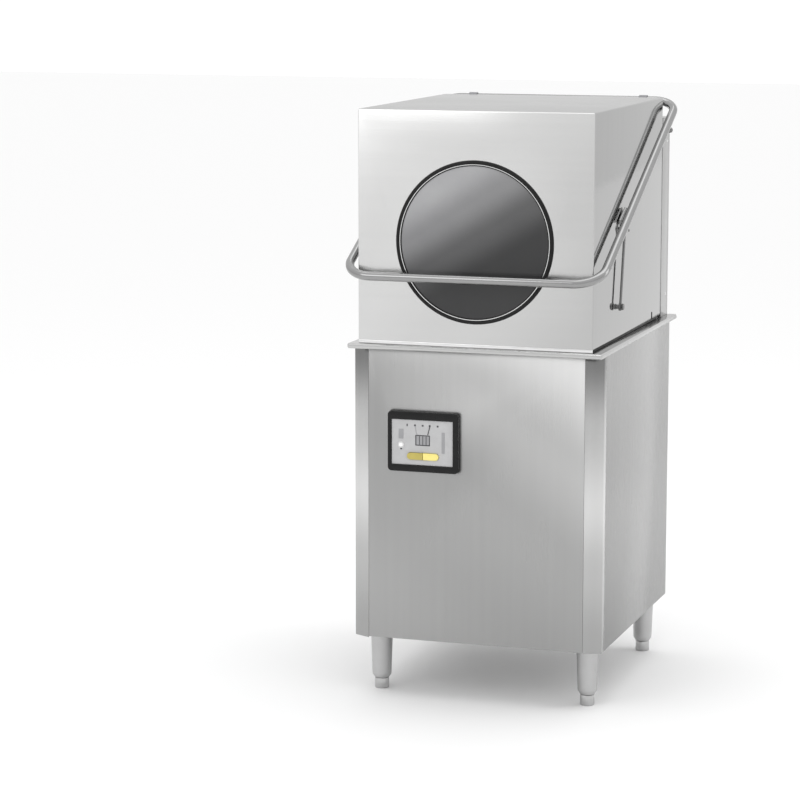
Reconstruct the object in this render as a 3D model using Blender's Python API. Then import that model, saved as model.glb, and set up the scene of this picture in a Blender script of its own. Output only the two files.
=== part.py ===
"""Hood-type pass-through dishwasher for commercial kitchens.

Metres, +Z up.  X runs left to right along the front, Y runs from the front to
the back, and the origin is on the floor under the middle of the machine.
"""
import math

import bmesh
import bpy
from mathutils import Matrix, Vector

# ---- driving dimensions ------------------------------------------------------
GAP = 0.0003            # clearance left between touching pieces
SHEET = 0.0015          # cabinet sheet
HOOD_SHEET = 0.0012     # hood sheet

HOOD_HALF_X = 0.2955
HOOD_FRONT_Y = -0.3666
HOOD_BACK_Y = 0.3297
HOOD_TOP_Z = 1.460
HOOD_SIDE_LOW_Z = 0.8970

CABINET_HALF_X = 0.3165
CABINET_HALF_Y = 0.3533
CABINET_LOW_Z = 0.1466

RIM_HALF_X = 0.3215
RIM_FRONT_Y = -0.3768
RIM_BACK_Y = 0.4160
RIM_LOW_Z = 0.8750
RIM_TOP_Z = 0.8880
RIM_SKIN = 0.0020
PANEL_TOP_Z = RIM_TOP_Z - RIM_SKIN - GAP

POST_FACE_X = 0.2745    # inner edge of the post's slanted front face
POST_SIDE_Y = -0.3313
POST_BACK_Y = -0.3060

WASH_CENTRE_Y = -0.045  # the rack and the spray arms are centred here
TANK_HALF_X = 0.2415
TANK_HALF_Y = 0.2415
TANK_LOW_Z = 0.5600

LEG_X = 0.267
LEG_FRONT_Y = -0.273
LEG_BACK_Y = 0.305

WINDOW_Z = 1.144
WINDOW_RADIUS = 0.198

PIVOT_Y = 0.385         # the handle's hinge axis runs along X through here
PIVOT_Z = 1.449
HANDLE_FRONT_Y = -0.405
HANDLE_FRONT_Z = 1.0584
HANDLE_HALF_X = 0.3214
TUBE_RADIUS = 0.011
FRONT_BEND = 0.068
REAR_BEND = 0.060

LINK_X = 0.3080
LINK_LOW = (-0.149, 0.975)
LINK_HIGH = (-0.112, 1.163)

COLUMN_X = (0.2455, 0.2955)
COLUMN_Y = (0.3425, 0.4157)
BACK_PANEL_Y = (0.3180, 0.3260)
COLUMN_TOP_Z = 1.405
STRUT_X = 0.2705
STRUT_Y = 0.384

PANEL_X = (-0.221, -0.040)
PANEL_Z = (0.575, 0.724)

# side names with their signs along X, and the display colours
SIDES = (("left", -1), ("right", 1))
STEEL = (0.62, 0.62, 0.61)
STEEL_BRIGHT = (0.72, 0.72, 0.71)
STEEL_DARK = (0.42, 0.42, 0.42)
BLACK = (0.02, 0.02, 0.02)
GREY_PLASTIC = (0.30, 0.30, 0.31)

# inside the tank and under it
DRAIN_X, DRAIN_Y = 0.170, 0.120
DRAIN_PIPE_Z = 0.500
INLET_X, INLET_Z = -0.200, 0.240
PUMP_X = -0.110
PUMP_TOP_Z = 0.500
PUMP_LOW_Z = 0.440
MANIFOLD_Y = 0.290
MANIFOLD_RADIUS = 0.015
ELEMENT_Z = 0.600
ELEMENT_Y = (-0.240, -0.190)
UPPER_PIPE_Z = 1.400

# control panel
BEZEL_FRONT_Y = -0.3653
MEMBRANE_X = (-0.211, -0.054)
MEMBRANE_Z = (0.592, 0.704)
MEMBRANE_Y = (-0.3628, -0.3598)
ROUND_BUTTON = (-0.1867, 0.6410, 0.0056)
PILL_Z = (0.6055, 0.6225)
PILL_LEFT_X = (-0.1710, -0.1312)
PILL_RIGHT_X = (-0.1300, -0.0900)
CAP_LOW_Y = -0.3610
STEM_END_Y = -0.3350

# slope of the handle's arms, and the pin and slot that join each link to one
SLOPE = math.atan2(PIVOT_Z - HANDLE_FRONT_Z, PIVOT_Y - HANDLE_FRONT_Y)
PIN_RADIUS = 0.0040
LUG_X = (0.2987, 0.3037)
PIN_TRAVEL_ALONG = 0.0375
PIN_TRAVEL_ABOVE = (-0.0371, -0.0294)


# ---- tools -------------------------------------------------------------------
def clear_scene():
    for obj in list(bpy.data.objects):
        bpy.data.objects.remove(obj, do_unlink=True)


def make_material(name, rgb, metallic, roughness):
    mat = bpy.data.materials.new(name)
    mat.use_nodes = True
    shader = mat.node_tree.nodes["Principled BSDF"]
    shader.inputs["Base Color"].default_value = (*rgb, 1.0)
    shader.inputs["Metallic"].default_value = metallic
    shader.inputs["Roughness"].default_value = roughness
    return mat


def add_object(name, mesh, rgb, metallic=1.0, roughness=0.3, origin=(0, 0, 0)):
    """Links a mesh built in world coordinates, with its origin moved to a chosen point."""
    mesh.transform(Matrix.Translation(-Vector(origin)))
    mesh.materials.append(make_material(name + "_material", rgb, metallic, roughness))
    obj = bpy.data.objects.new(name, mesh)
    obj.location = origin
    bpy.context.scene.collection.objects.link(obj)
    return obj


def mesh_from(bm, smooth=False):
    bmesh.ops.recalc_face_normals(bm, faces=bm.faces)
    mesh = bpy.data.meshes.new("mesh")
    bm.to_mesh(mesh)
    bm.free()
    if smooth:
        mesh.shade_smooth()
        mesh.set_sharp_from_angle(angle=math.radians(35))
    return mesh


def box(low, high, bevel=0.0, segments=2):
    size = [b - a for a, b in zip(low, high)]
    centre = [(a + b) / 2 for a, b in zip(low, high)]
    bm = bmesh.new()
    bmesh.ops.create_cube(bm, size=1.0)
    bmesh.ops.scale(bm, vec=size, verts=bm.verts)
    bmesh.ops.translate(bm, vec=centre, verts=bm.verts)
    if bevel:
        bmesh.ops.bevel(bm, geom=bm.edges[:], offset=bevel, segments=segments,
                        profile=0.5, affect="EDGES", clamp_overlap=True)
    return mesh_from(bm)


def prism(outline, axis, low, high):
    """Extrudes a closed outline of (a, b) points along X (a=y, b=z) or Z (a=x, b=y)
    or Y (a=x, b=z)."""
    place = {
        "X": lambda a, b: (low, a, b),
        "Y": lambda a, b: (a, low, b),
        "Z": lambda a, b: (a, b, low),
    }[axis]
    step = {"X": (high - low, 0, 0), "Y": (0, high - low, 0), "Z": (0, 0, high - low)}[axis]
    bm = bmesh.new()
    face = bm.faces.new([bm.verts.new(place(a, b)) for a, b in outline])
    grown = bmesh.ops.extrude_face_region(bm, geom=[face])
    moved = [item for item in grown["geom"] if isinstance(item, bmesh.types.BMVert)]
    bmesh.ops.translate(bm, vec=step, verts=moved)
    return mesh_from(bm)


def lathe(profile, axis="Z", centre=(0, 0, 0), segments=24):
    """Turns (radius, height) points about an axis.  A profile whose ends are on the
    axis gives a solid, and a profile closed on itself gives a ring."""
    on_axis = profile[0][0] == 0
    bm = bmesh.new()
    verts = [bm.verts.new((r, 0, h)) for r, h in profile]
    count = len(verts)
    pairs = zip(verts, verts[1:]) if on_axis else ((verts[i], verts[(i + 1) % count]) for i in range(count))
    edges = [bm.edges.new(pair) for pair in pairs]
    bmesh.ops.spin(bm, geom=verts + edges, cent=(0, 0, 0), axis=(0, 0, 1),
                   angle=math.tau, steps=segments, use_merge=True)
    bmesh.ops.remove_doubles(bm, verts=bm.verts, dist=1e-6)
    turn = {
        "Z": Matrix.Identity(4),
        "Y": Matrix.Rotation(-math.pi / 2, 4, "X"),
        "X": Matrix.Rotation(math.pi / 2, 4, "Y"),
    }[axis]
    bmesh.ops.transform(bm, matrix=Matrix.Translation(centre) @ turn, verts=bm.verts)
    return mesh_from(bm, smooth=True)


def cylinder(radius, low, high, axis="Z", centre=(0, 0), segments=24):
    """A plain round bar along an axis; centre holds the two other coordinates."""
    spot = {
        "Z": (centre[0], centre[1], 0),
        "Y": (centre[0], 0, centre[1]),
        "X": (0, centre[0], centre[1]),
    }[axis]
    return lathe([(0, low), (radius, low), (radius, high), (0, high)], axis, spot, segments)


def rounded_path(points, radius, steps=5, closed=False):
    """Replaces each corner of a path with an arc."""
    points = [Vector(p) for p in points]
    count = len(points)
    radii = radius if isinstance(radius, (list, tuple)) else [radius] * count
    path = []
    for i, corner in enumerate(points):
        if not closed and i in (0, count - 1):
            path.append(corner)
            continue
        back = (points[i - 1] - corner).normalized()
        ahead = (points[(i + 1) % count] - corner).normalized()
        half = back.angle(ahead) / 2
        centre = corner + (back + ahead).normalized() * (radii[i] / math.sin(half))
        start = corner + back * (radii[i] / math.tan(half))
        end = corner + ahead * (radii[i] / math.tan(half))
        for k in range(steps + 1):
            spoke = (start - centre).normalized().slerp((end - centre).normalized(), k / steps)
            path.append(centre + spoke * radii[i])
    return path


def tube(path, radius, closed=False, resolution=2):
    """Sweeps a circle of 4 * (resolution + 1) sides along a path."""
    curve = bpy.data.curves.new("path", "CURVE")
    curve.dimensions = "3D"
    curve.bevel_depth = radius
    curve.bevel_resolution = resolution
    curve.use_fill_caps = not closed
    spline = curve.splines.new("POLY")
    spline.points.add(len(path) - 1)
    for point, place in zip(spline.points, path):
        point.co = (*place, 1.0)
    spline.use_cyclic_u = closed
    guide = bpy.data.objects.new("guide", curve)
    bpy.context.scene.collection.objects.link(guide)
    bpy.context.view_layer.update()
    mesh = bpy.data.meshes.new_from_object(guide.evaluated_get(bpy.context.evaluated_depsgraph_get()))
    bpy.data.objects.remove(guide, do_unlink=True)
    bm = bmesh.new()
    bm.from_mesh(mesh)
    bmesh.ops.remove_doubles(bm, verts=bm.verts, dist=1e-6)
    return mesh_from(bm, smooth=True)


def combine(base, others, operation):
    """Boolean of a mesh with a list of meshes, one after another."""
    scene = bpy.context.scene.collection
    for other in others:
        first = bpy.data.objects.new("first", base)
        second = bpy.data.objects.new("second", other)
        scene.objects.link(first)
        scene.objects.link(second)
        modifier = first.modifiers.new("join", "BOOLEAN")
        modifier.operation = operation
        modifier.solver = "EXACT"
        modifier.object = second
        bpy.context.view_layer.update()
        result = first.evaluated_get(bpy.context.evaluated_depsgraph_get())
        base = bpy.data.meshes.new_from_object(result)
        bpy.data.objects.remove(first, do_unlink=True)
        bpy.data.objects.remove(second, do_unlink=True)
    base.materials.clear()
    return base


def cut(base, *tools):
    return combine(base, tools, "DIFFERENCE")


def join(base, *extras):
    return combine(base, extras, "UNION")


def mirrored(low, high):
    """X limits of the same piece on the other side."""
    return -high, -low


def side_limits(side, low, high):
    return (low, high) if side > 0 else mirrored(low, high)


# ---- cabinet -----------------------------------------------------------------
def build_chassis():
    low = (-0.3140, -0.3035, CABINET_LOW_Z)
    high = (0.3140, 0.3370, 0.1866)
    pocket = box((low[0] + 0.002, low[1] + 0.002, low[2] + 0.002), (high[0] - 0.002, high[1] - 0.002, 0.2))
    add_object("chassis_tray", cut(box(low, high), pocket), STEEL_DARK, roughness=0.4)


def build_front_panel():
    half = POST_FACE_X - GAP
    front = -CABINET_HALF_Y
    back = front + 0.018
    low_z = CABINET_LOW_Z + 0.0030
    pocket = box((-half + SHEET, front + SHEET, low_z + SHEET), (half - SHEET, back + 0.01, PANEL_TOP_Z - SHEET))
    window = box((PANEL_X[0] + 0.008, front - 0.01, PANEL_Z[0] + 0.008),
                 (PANEL_X[1] - 0.008, front + 0.01, PANEL_Z[1] - 0.008))
    shell = cut(box((-half, front, low_z), (half, back, PANEL_TOP_Z)), pocket, window)
    add_object("front_panel", shell, STEEL)


def build_corner_post(name, side):
    front = -CABINET_HALF_Y
    wall = 0.0020
    outline = [
        (POST_FACE_X, front),
        (CABINET_HALF_X, POST_SIDE_Y),
        (CABINET_HALF_X, POST_BACK_Y),
        (CABINET_HALF_X - wall, POST_BACK_Y),
        (CABINET_HALF_X - wall, POST_SIDE_Y + wall / 2),
        (POST_FACE_X, front + wall + wall / 4),
    ]
    outline = [(side * x, y) for x, y in outline]
    add_object(f"corner_post_{name}", prism(outline, "Z", CABINET_LOW_Z, PANEL_TOP_Z), STEEL)


def build_side_panel(name, side):
    fold = 0.0140
    front = POST_BACK_Y + GAP
    x_low, x_high = side_limits(side, CABINET_HALF_X - fold, CABINET_HALF_X)
    inner_low, inner_high = side_limits(side, CABINET_HALF_X - fold - 0.01, CABINET_HALF_X - SHEET)
    pocket = box((inner_low, front + SHEET, CABINET_LOW_Z - 0.01),
                 (inner_high, CABINET_HALF_Y - SHEET, PANEL_TOP_Z - SHEET))
    shell = cut(box((x_low, front, CABINET_LOW_Z), (x_high, CABINET_HALF_Y, PANEL_TOP_Z)), pocket)
    add_object(f"side_panel_{name}", shell, STEEL)


def build_rear_panel():
    half = 0.3020
    front = CABINET_HALF_Y - 0.0138
    low_z = CABINET_LOW_Z + 0.0030
    pocket = box((-half + SHEET, front - 0.01, low_z + SHEET),
                 (half - SHEET, CABINET_HALF_Y - SHEET, PANEL_TOP_Z - SHEET))
    shell = cut(
        box((-half, front, low_z), (half, CABINET_HALF_Y, PANEL_TOP_Z)),
        pocket,
        cylinder(0.0215, 0.3, 0.4, "Y", (DRAIN_X, DRAIN_PIPE_Z)),
        cylinder(0.0110, 0.3, 0.4, "Y", (INLET_X, INLET_Z)),
    )
    add_object("rear_panel", shell, STEEL)


def build_legs():
    spots = {
        "front_left": (-LEG_X, LEG_FRONT_Y),
        "front_right": (LEG_X, LEG_FRONT_Y),
        "back_left": (-LEG_X, LEG_BACK_Y),
        "back_right": (LEG_X, LEG_BACK_Y),
    }
    bore = 0.0085
    for name, (x, y) in spots.items():
        leg = [
            (0, CABINET_LOW_Z - GAP), (0.0285, CABINET_LOW_Z - GAP), (0.0240, 0.0340), (0.0185, 0.0275),
            (bore, 0.0275), (bore, 0.1000), (0, 0.1000),
        ]
        add_object(f"leg_{name}", lathe(leg, centre=(x, y, 0), segments=20), STEEL, roughness=0.35)
        foot = [
            (0, 0), (0.0165, 0), (0.0178, 0.0020), (0.0178, 0.0265),
            (0.0080, 0.0265), (0.0080, 0.0960), (0, 0.0960),
        ]
        add_object(f"foot_{name}", lathe(foot, centre=(x, y, 0), segments=20), STEEL_DARK,
                   roughness=0.35, origin=(x, y, 0))


def build_rim():
    """Folded table edge round the tank mouth, with notches for the rear columns."""
    body = box((-RIM_HALF_X, RIM_FRONT_Y, RIM_LOW_Z), (RIM_HALF_X, RIM_BACK_Y, RIM_TOP_Z), bevel=0.003, segments=1)
    wall = 0.0035
    under = box((-RIM_HALF_X + wall, RIM_FRONT_Y + wall, RIM_LOW_Z - 0.01),
                (RIM_HALF_X - wall, RIM_BACK_Y - wall, RIM_TOP_Z - RIM_SKIN))
    mouth_x = TANK_HALF_X - SHEET
    mouth_y = TANK_HALF_Y - SHEET
    mouth = box((-mouth_x, WASH_CENTRE_Y - mouth_y, 0.8), (mouth_x, WASH_CENTRE_Y + mouth_y, 0.9))
    tools = [under, mouth, cylinder(0.0160, 0.8, 0.9, "Z", (0, MANIFOLD_Y))]
    for _, side in SIDES:
        low, high = side_limits(side, COLUMN_X[0] - GAP, COLUMN_X[1] + GAP)
        tools.append(box((low, CABINET_HALF_Y + 0.0021, 0.8), (high, RIM_BACK_Y + 0.01, 0.9)))
    add_object("docking_rim", cut(body, *tools), STEEL_BRIGHT)


# ---- wash system -------------------------------------------------------------


def build_tank():
    y_low = WASH_CENTRE_Y - TANK_HALF_Y
    y_high = WASH_CENTRE_Y + TANK_HALF_Y
    body = box((-TANK_HALF_X, y_low, TANK_LOW_Z), (TANK_HALF_X, y_high, PANEL_TOP_Z))
    basin = box((-TANK_HALF_X + SHEET, y_low + SHEET, TANK_LOW_Z + SHEET),
                (TANK_HALF_X - SHEET, y_high - SHEET, PANEL_TOP_Z + 0.01))
    holes = [
        cylinder(0.0210, 0.5, 0.6, "Z", (DRAIN_X, DRAIN_Y)),
        cylinder(0.0240, 0.5, 0.6, "Z", (PUMP_X, WASH_CENTRE_Y)),
        cylinder(MANIFOLD_RADIUS + 0.0010, 0.5, 0.6, "Z", (0, WASH_CENTRE_Y)),
    ]
    holes += [cylinder(0.0048, 0.2, 0.3, "X", (y, ELEMENT_Z), segments=12) for y in ELEMENT_Y]
    add_object("wash_tank", cut(body, basin, *holes), STEEL)


def build_strainer():
    """Lift-out pan that hangs on the rim by its two lips."""
    sheet = 0.0015
    half = TANK_HALF_X - SHEET - 0.0015
    low = 0.8300
    top = RIM_TOP_Z + GAP
    outline = [
        (-half, low), (half, low), (half, top), (0.2560, top), (0.2560, top + sheet), (half - sheet, top + sheet),
        (half - sheet, low + sheet), (-half + sheet, low + sheet), (-half + sheet, top + sheet),
        (-0.2560, top + sheet), (-0.2560, top), (-half, top),
    ]
    depth = TANK_HALF_Y - 0.004
    pan = prism(outline, "Y", WASH_CENTRE_Y - depth, WASH_CENTRE_Y + depth)
    pillar_hole = cylinder(MANIFOLD_RADIUS + 0.003, 0.8, 0.85, "Z", (0, WASH_CENTRE_Y), 20)
    standpipe_hole = cylinder(0.0250, 0.8, 0.85, "Z", (DRAIN_X, DRAIN_Y), 20)
    add_object("strainer_pan", cut(pan, pillar_hole, standpipe_hole), STEEL)


def build_rack_rails():
    """Two angles that carry the rack and let it slide through from side to side."""
    for name, side in (("front", -1), ("rear", 1)):
        middle = WASH_CENTRE_Y + side * 0.2450
        edge = middle + side * 0.0150
        inner = middle - side * 0.0150
        sheet = side * 0.0020
        base = RIM_TOP_Z + GAP
        outline = [
            (middle, base), (edge, base), (edge, base + 0.0340), (edge - sheet, base + 0.0340),
            (edge - sheet, base + 0.0140), (inner, base + 0.0140), (inner, base + 0.0120),
            (edge - sheet, base + 0.0120), (edge - sheet, base + 0.0020), (middle, base + 0.0020),
        ]
        add_object(f"rack_rail_{name}", prism(outline, "X", -0.2850, 0.2850), STEEL)


def build_drain():
    """Waste pipe whose flanged mouth is clamped through the tank's floor."""
    path = rounded_path([(DRAIN_X, DRAIN_Y, 0.5630), (DRAIN_X, DRAIN_Y, DRAIN_PIPE_Z), (DRAIN_X, 0.3750, DRAIN_PIPE_Z)],
                        0.035, steps=4)
    outer = tube(path, 0.0200)
    floor = TANK_LOW_Z + SHEET + GAP
    flange = cylinder(0.0290, floor, floor + 0.0020, "Z", (DRAIN_X, DRAIN_Y))
    inner_path = [path[0] + Vector((0, 0, 0.01))] + path[1:-1] + [path[-1] + Vector((0, 0.01, 0))]
    pipe = cut(join(outer, flange), tube(inner_path, 0.0165))
    add_object("drain_pipe", pipe, GREY_PLASTIC, metallic=0.0, roughness=0.5)
    seat = floor + 0.0020 + GAP
    top = 0.8000
    ring = [(0.0160, seat), (0.0182, seat), (0.0182, top), (0.0160, top)]
    add_object("standpipe", lathe(ring, centre=(DRAIN_X, DRAIN_Y, 0), segments=20), GREY_PLASTIC,
               metallic=0.0, roughness=0.5, origin=(DRAIN_X, DRAIN_Y, seat))


def build_heating_element():
    near, far = ELEMENT_Y
    path = rounded_path([(0.2640, near, ELEMENT_Z), (-0.1900, near, ELEMENT_Z),
                         (-0.1900, far, ELEMENT_Z), (0.2640, far, ELEMENT_Z)], 0.020, steps=4)
    add_object("heating_element", tube(path, 0.0042), STEEL_DARK, roughness=0.45)


def build_pump():
    centre = (PUMP_X, WASH_CENTRE_Y, 0)
    shell = [
        (0.0070, PUMP_LOW_Z), (0.0750, PUMP_LOW_Z), (0.0750, PUMP_TOP_Z), (0.0270, PUMP_TOP_Z),
        (0.0230, PUMP_TOP_Z + 0.0080), (0.0230, TANK_LOW_Z + 0.0050), (0.0200, TANK_LOW_Z + 0.0050),
        (0.0200, PUMP_TOP_Z - 0.0040), (0.0710, PUMP_TOP_Z - 0.0040), (0.0710, PUMP_LOW_Z + 0.0040),
        (0.0070, PUMP_LOW_Z + 0.0040),
    ]
    port = cylinder(0.0135, PUMP_X + 0.04, PUMP_X + 0.09, "X", (WASH_CENTRE_Y, 0.470), 16)
    add_object("pump_housing", cut(lathe(shell, centre=centre), port), GREY_PLASTIC, metallic=0.0, roughness=0.5)

    eye = 0.4470
    disc = [(0, eye), (0.0640, eye), (0.0640, eye + 0.0030), (0.0140, eye + 0.0030), (0.0110, 0.4850), (0, 0.4850)]
    bore = cylinder(0.0063, 0.44, 0.4600, "Z", centre[:2], 16)
    vanes = []
    vane_count = 6
    for k in range(vane_count):
        vane = box((0.0080, -0.0015, eye + 0.0010), (0.0620, 0.0015, 0.4780))
        vane.transform(Matrix.Translation(centre) @ Matrix.Rotation(math.tau * k / vane_count, 4, "Z"))
        vanes.append(vane)
    wheel = cut(join(lathe(disc, centre=centre), *vanes), bore)
    add_object("pump_impeller", wheel, GREY_PLASTIC, metallic=0.0, roughness=0.5, origin=(*centre[:2], eye))

    floor = CABINET_LOW_Z + 0.0020 + GAP
    top = PUMP_LOW_Z - GAP
    motor = [(0, floor), (0.0620, floor), (0.0620, floor + 0.0100), (0.0560, floor + 0.0120), (0.0560, top - 0.0300),
             (0.0400, top), (0.0060, top), (0.0060, 0.4580), (0, 0.4580)]
    add_object("pump_motor", lathe(motor, centre=centre), (0.10, 0.11, 0.13), metallic=0.3, roughness=0.5)


def build_manifold():
    """Delivery pipe from the pump to the lower and the upper spray-arm spindles."""
    start = PUMP_X + 0.0750 + GAP
    level = 0.470
    riser = rounded_path([(start, WASH_CENTRE_Y, level), (0, WASH_CENTRE_Y, level), (0, WASH_CENTRE_Y, 0.8420)],
                         0.022, steps=3)
    loop = rounded_path([(0, WASH_CENTRE_Y, level + 0.05), (0, MANIFOLD_Y, level + 0.05),
                         (0, MANIFOLD_Y, UPPER_PIPE_Z), (0, WASH_CENTRE_Y, UPPER_PIPE_Z),
                         (0, WASH_CENTRE_Y, 1.3750)], 0.024, steps=3)
    lower_post = [(0, 0.8400), (0.0190, 0.8400), (0.0190, 0.8440), (0.0105, 0.8440), (0.0105, 0.8900),
                  (0.0150, 0.8900), (0.0150, 0.8935), (0, 0.8935)]
    upper_post = [(0, 1.3250), (0.0160, 1.3250), (0.0160, 1.3290), (0.0105, 1.3290), (0.0105, 1.3720),
                  (0.0190, 1.3720), (0.0190, 1.3780), (0, 1.3780)]
    centre = (0, WASH_CENTRE_Y, 0)
    pipe = join(tube(riser, MANIFOLD_RADIUS), tube(loop, MANIFOLD_RADIUS),
                lathe(lower_post, centre=centre, segments=20), lathe(upper_post, centre=centre, segments=20))
    bore = 0.0125
    hollow_riser = [riser[0] - Vector((0.01, 0, 0))] + riser[1:-1] + [riser[-1] - Vector((0, 0, 0.02))]
    hollow_loop = loop[:-1] + [loop[-1] + Vector((0, 0, 0.01))]
    add_object("wash_manifold", cut(pipe, tube(hollow_riser, bore), tube(hollow_loop, bore)), STEEL)


def build_spray_arm(name, length, width, height, low, hub_radius):
    centre = (0, WASH_CENTRE_Y)
    bar = box((-length, centre[1] - width / 2, low), (length, centre[1] + width / 2, low + height), 0.003, 1)
    hub = cylinder(hub_radius, low - 0.0012, low + height + 0.0012, "Z", centre, 20)
    bore = cylinder(0.0112, low - 0.01, low + height + 0.01, "Z", centre)
    add_object(name, cut(join(bar, hub), bore), STEEL, origin=(*centre, low))


def build_spray_arms():
    build_spray_arm("wash_arm_lower", 0.2250, 0.034, 0.016, 0.8460, 0.026)
    build_spray_arm("rinse_arm_lower", 0.2200, 0.018, 0.012, 0.8700, 0.018)
    build_spray_arm("rinse_arm_upper", 0.2200, 0.018, 0.012, 1.3310, 0.018)
    build_spray_arm("wash_arm_upper", 0.2250, 0.034, 0.016, 1.3530, 0.026)


def build_boiler():
    floor = CABINET_LOW_Z + 0.0020 + GAP
    top = 0.4400
    wall = 0.0020
    neck = 0.0080
    shape = [
        (0, floor), (0.0800, floor), (0.0850, floor + 0.0080), (0.0850, top - 0.0150), (0.0700, top), (neck, top),
        (neck, top - wall), (0.0700 - wall, top - wall), (0.0850 - wall, top - 0.0150 - wall / 2),
        (0.0850 - wall, floor + 0.0080 + wall / 2), (0.0800 - wall / 2, floor + wall), (0, floor + wall),
    ]
    add_object("rinse_boiler", lathe(shape, centre=(0.150, 0.030, 0)), STEEL, roughness=0.4)


def build_inlet():
    stub = [(0, 0.3300), (0.0160, 0.3300), (0.0160, 0.3392), (0.0105, 0.3392), (0.0105, 0.3750),
            (0.0070, 0.3750), (0.0070, 0.3400), (0, 0.3400)]
    add_object("water_inlet", lathe(stub, "Y", (INLET_X, 0, INLET_Z), 20), (0.60, 0.50, 0.25), roughness=0.35)


# ---- controls ----------------------------------------------------------------


def stadium(x_low, x_high, z_low, z_high, left_round, right_round, steps=6):
    """Outline of a strip whose ends can be half circles."""
    radius = (z_high - z_low) / 2
    middle = (z_low + z_high) / 2
    points = []
    if right_round:
        arc = [-math.pi / 2 + math.pi * k / steps for k in range(steps + 1)]
        points += [(x_high - radius + radius * math.cos(a), middle + radius * math.sin(a)) for a in arc]
    else:
        points += [(x_high, z_low), (x_high, z_high)]
    if left_round:
        arc = [math.pi / 2 + math.pi * k / steps for k in range(steps + 1)]
        points += [(x_low + radius + radius * math.cos(a), middle + radius * math.sin(a)) for a in arc]
    else:
        points += [(x_low, z_high), (x_low, z_low)]
    return points


def build_control_panel():
    back = -CABINET_HALF_Y - GAP
    outer = box((PANEL_X[0], BEZEL_FRONT_Y, PANEL_Z[0]), (PANEL_X[1], back, PANEL_Z[1]), bevel=0.004, segments=2)
    hole = box((MEMBRANE_X[0], BEZEL_FRONT_Y - 0.01, MEMBRANE_Z[0]), (MEMBRANE_X[1], back + 0.01, MEMBRANE_Z[1]))
    add_object("control_bezel", cut(outer, hole), BLACK, metallic=0.0, roughness=0.35)

    x, z, radius = ROUND_BUTTON
    slack = 0.0005
    openings = [
        cylinder(radius + slack, -0.4, -0.3, "Y", (x, z), 20),
        prism(stadium(PILL_LEFT_X[0] - slack, PILL_RIGHT_X[1] + slack, PILL_Z[0] - slack, PILL_Z[1] + slack,
                      True, True), "Y", -0.4, -0.3),
    ]
    plate = box((MEMBRANE_X[0] + GAP, MEMBRANE_Y[0], MEMBRANE_Z[0] + GAP),
                (MEMBRANE_X[1] - GAP, MEMBRANE_Y[1], MEMBRANE_Z[1] - GAP))
    add_object("control_membrane", cut(plate, *openings), (0.50, 0.50, 0.50), metallic=0.3, roughness=0.4)

    pill_middle = (PILL_Z[0] + PILL_Z[1]) / 2
    stems = [(x, z)] + [((low + high) / 2, pill_middle) for low, high in (PILL_LEFT_X, PILL_RIGHT_X)]
    stem_radius = 0.0035
    housing = box((PANEL_X[0] + 0.012, MEMBRANE_Y[1] + 0.0040, PANEL_Z[0] + 0.020),
                  (PANEL_X[1] - 0.017, -0.2900, PANEL_Z[1] - 0.023))
    sockets = [cylinder(stem_radius + slack, -0.4, STEM_END_Y + 0.006, "Y", spot, 16) for spot in stems]
    add_object("control_housing", cut(housing, *sockets), GREY_PLASTIC, metallic=0.0, roughness=0.6)

    front = MEMBRANE_Y[0] - 0.0030
    cap_back = MEMBRANE_Y[1] - 0.0005
    caps = {
        "start_button": (cylinder(radius, front, cap_back, "Y", (x, z), 20), (0.85, 0.85, 0.85)),
        "cycle_button_left": (prism(stadium(*PILL_LEFT_X, *PILL_Z, True, False), "Y", front, cap_back),
                              (0.55, 0.48, 0.12)),
        "cycle_button_right": (prism(stadium(*PILL_RIGHT_X, *PILL_Z, False, True), "Y", front, cap_back),
                               (0.75, 0.68, 0.20)),
    }
    for (name, (cap, colour)), spot in zip(caps.items(), stems):
        stem = cylinder(stem_radius, cap_back - 0.001, STEM_END_Y, "Y", spot, 16)
        add_object(name, join(cap, stem), colour, metallic=0.0, roughness=0.35, origin=(spot[0], front, spot[1]))


# ---- rear frame --------------------------------------------------------------
def c_profile(x_low, x_high, y_low, y_high, wall, slot_low, slot_high):
    """Channel outline, open along a slot in its front wall."""
    return [
        (slot_low, y_low), (slot_low, y_low + wall), (x_low + wall, y_low + wall), (x_low + wall, y_high - wall),
        (x_high - wall, y_high - wall), (x_high - wall, y_low + wall), (slot_high, y_low + wall), (slot_high, y_low),
        (x_high, y_low), (x_high, y_high), (x_low, y_high), (x_low, y_low),
    ]


def build_column(name, side):
    wall = 0.0020
    slot = (STRUT_X - 0.0085, STRUT_X + 0.0085)
    upper = c_profile(*COLUMN_X, *COLUMN_Y, wall, *slot)
    lower = c_profile(*COLUMN_X, CABINET_HALF_Y + 0.0024, COLUMN_Y[1], wall, *slot)
    upper = [(side * x, y) for x, y in upper]
    lower = [(side * x, y) for x, y in lower]
    body = join(prism(upper, "Z", RIM_TOP_Z + GAP, COLUMN_TOP_Z), prism(lower, "Z", 0.4500, RIM_TOP_Z + 0.02))
    add_object(f"rear_column_{name}", body, STEEL)


def build_strut(name, side):
    """Gas spring cylinder, bolted to the lower end of its column."""
    low = 0.4700
    shell = [(0, low), (0.0140, low), (0.0140, 0.9050), (0.0045, 0.9050), (0.0045, 0.8970),
             (0.0120, 0.8970), (0.0120, low + 0.0050), (0, low + 0.0050)]
    add_object(f"strut_cylinder_{name}", lathe(shell, centre=(side * STRUT_X, STRUT_Y, 0), segments=16),
               BLACK, metallic=0.2, roughness=0.35)


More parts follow.
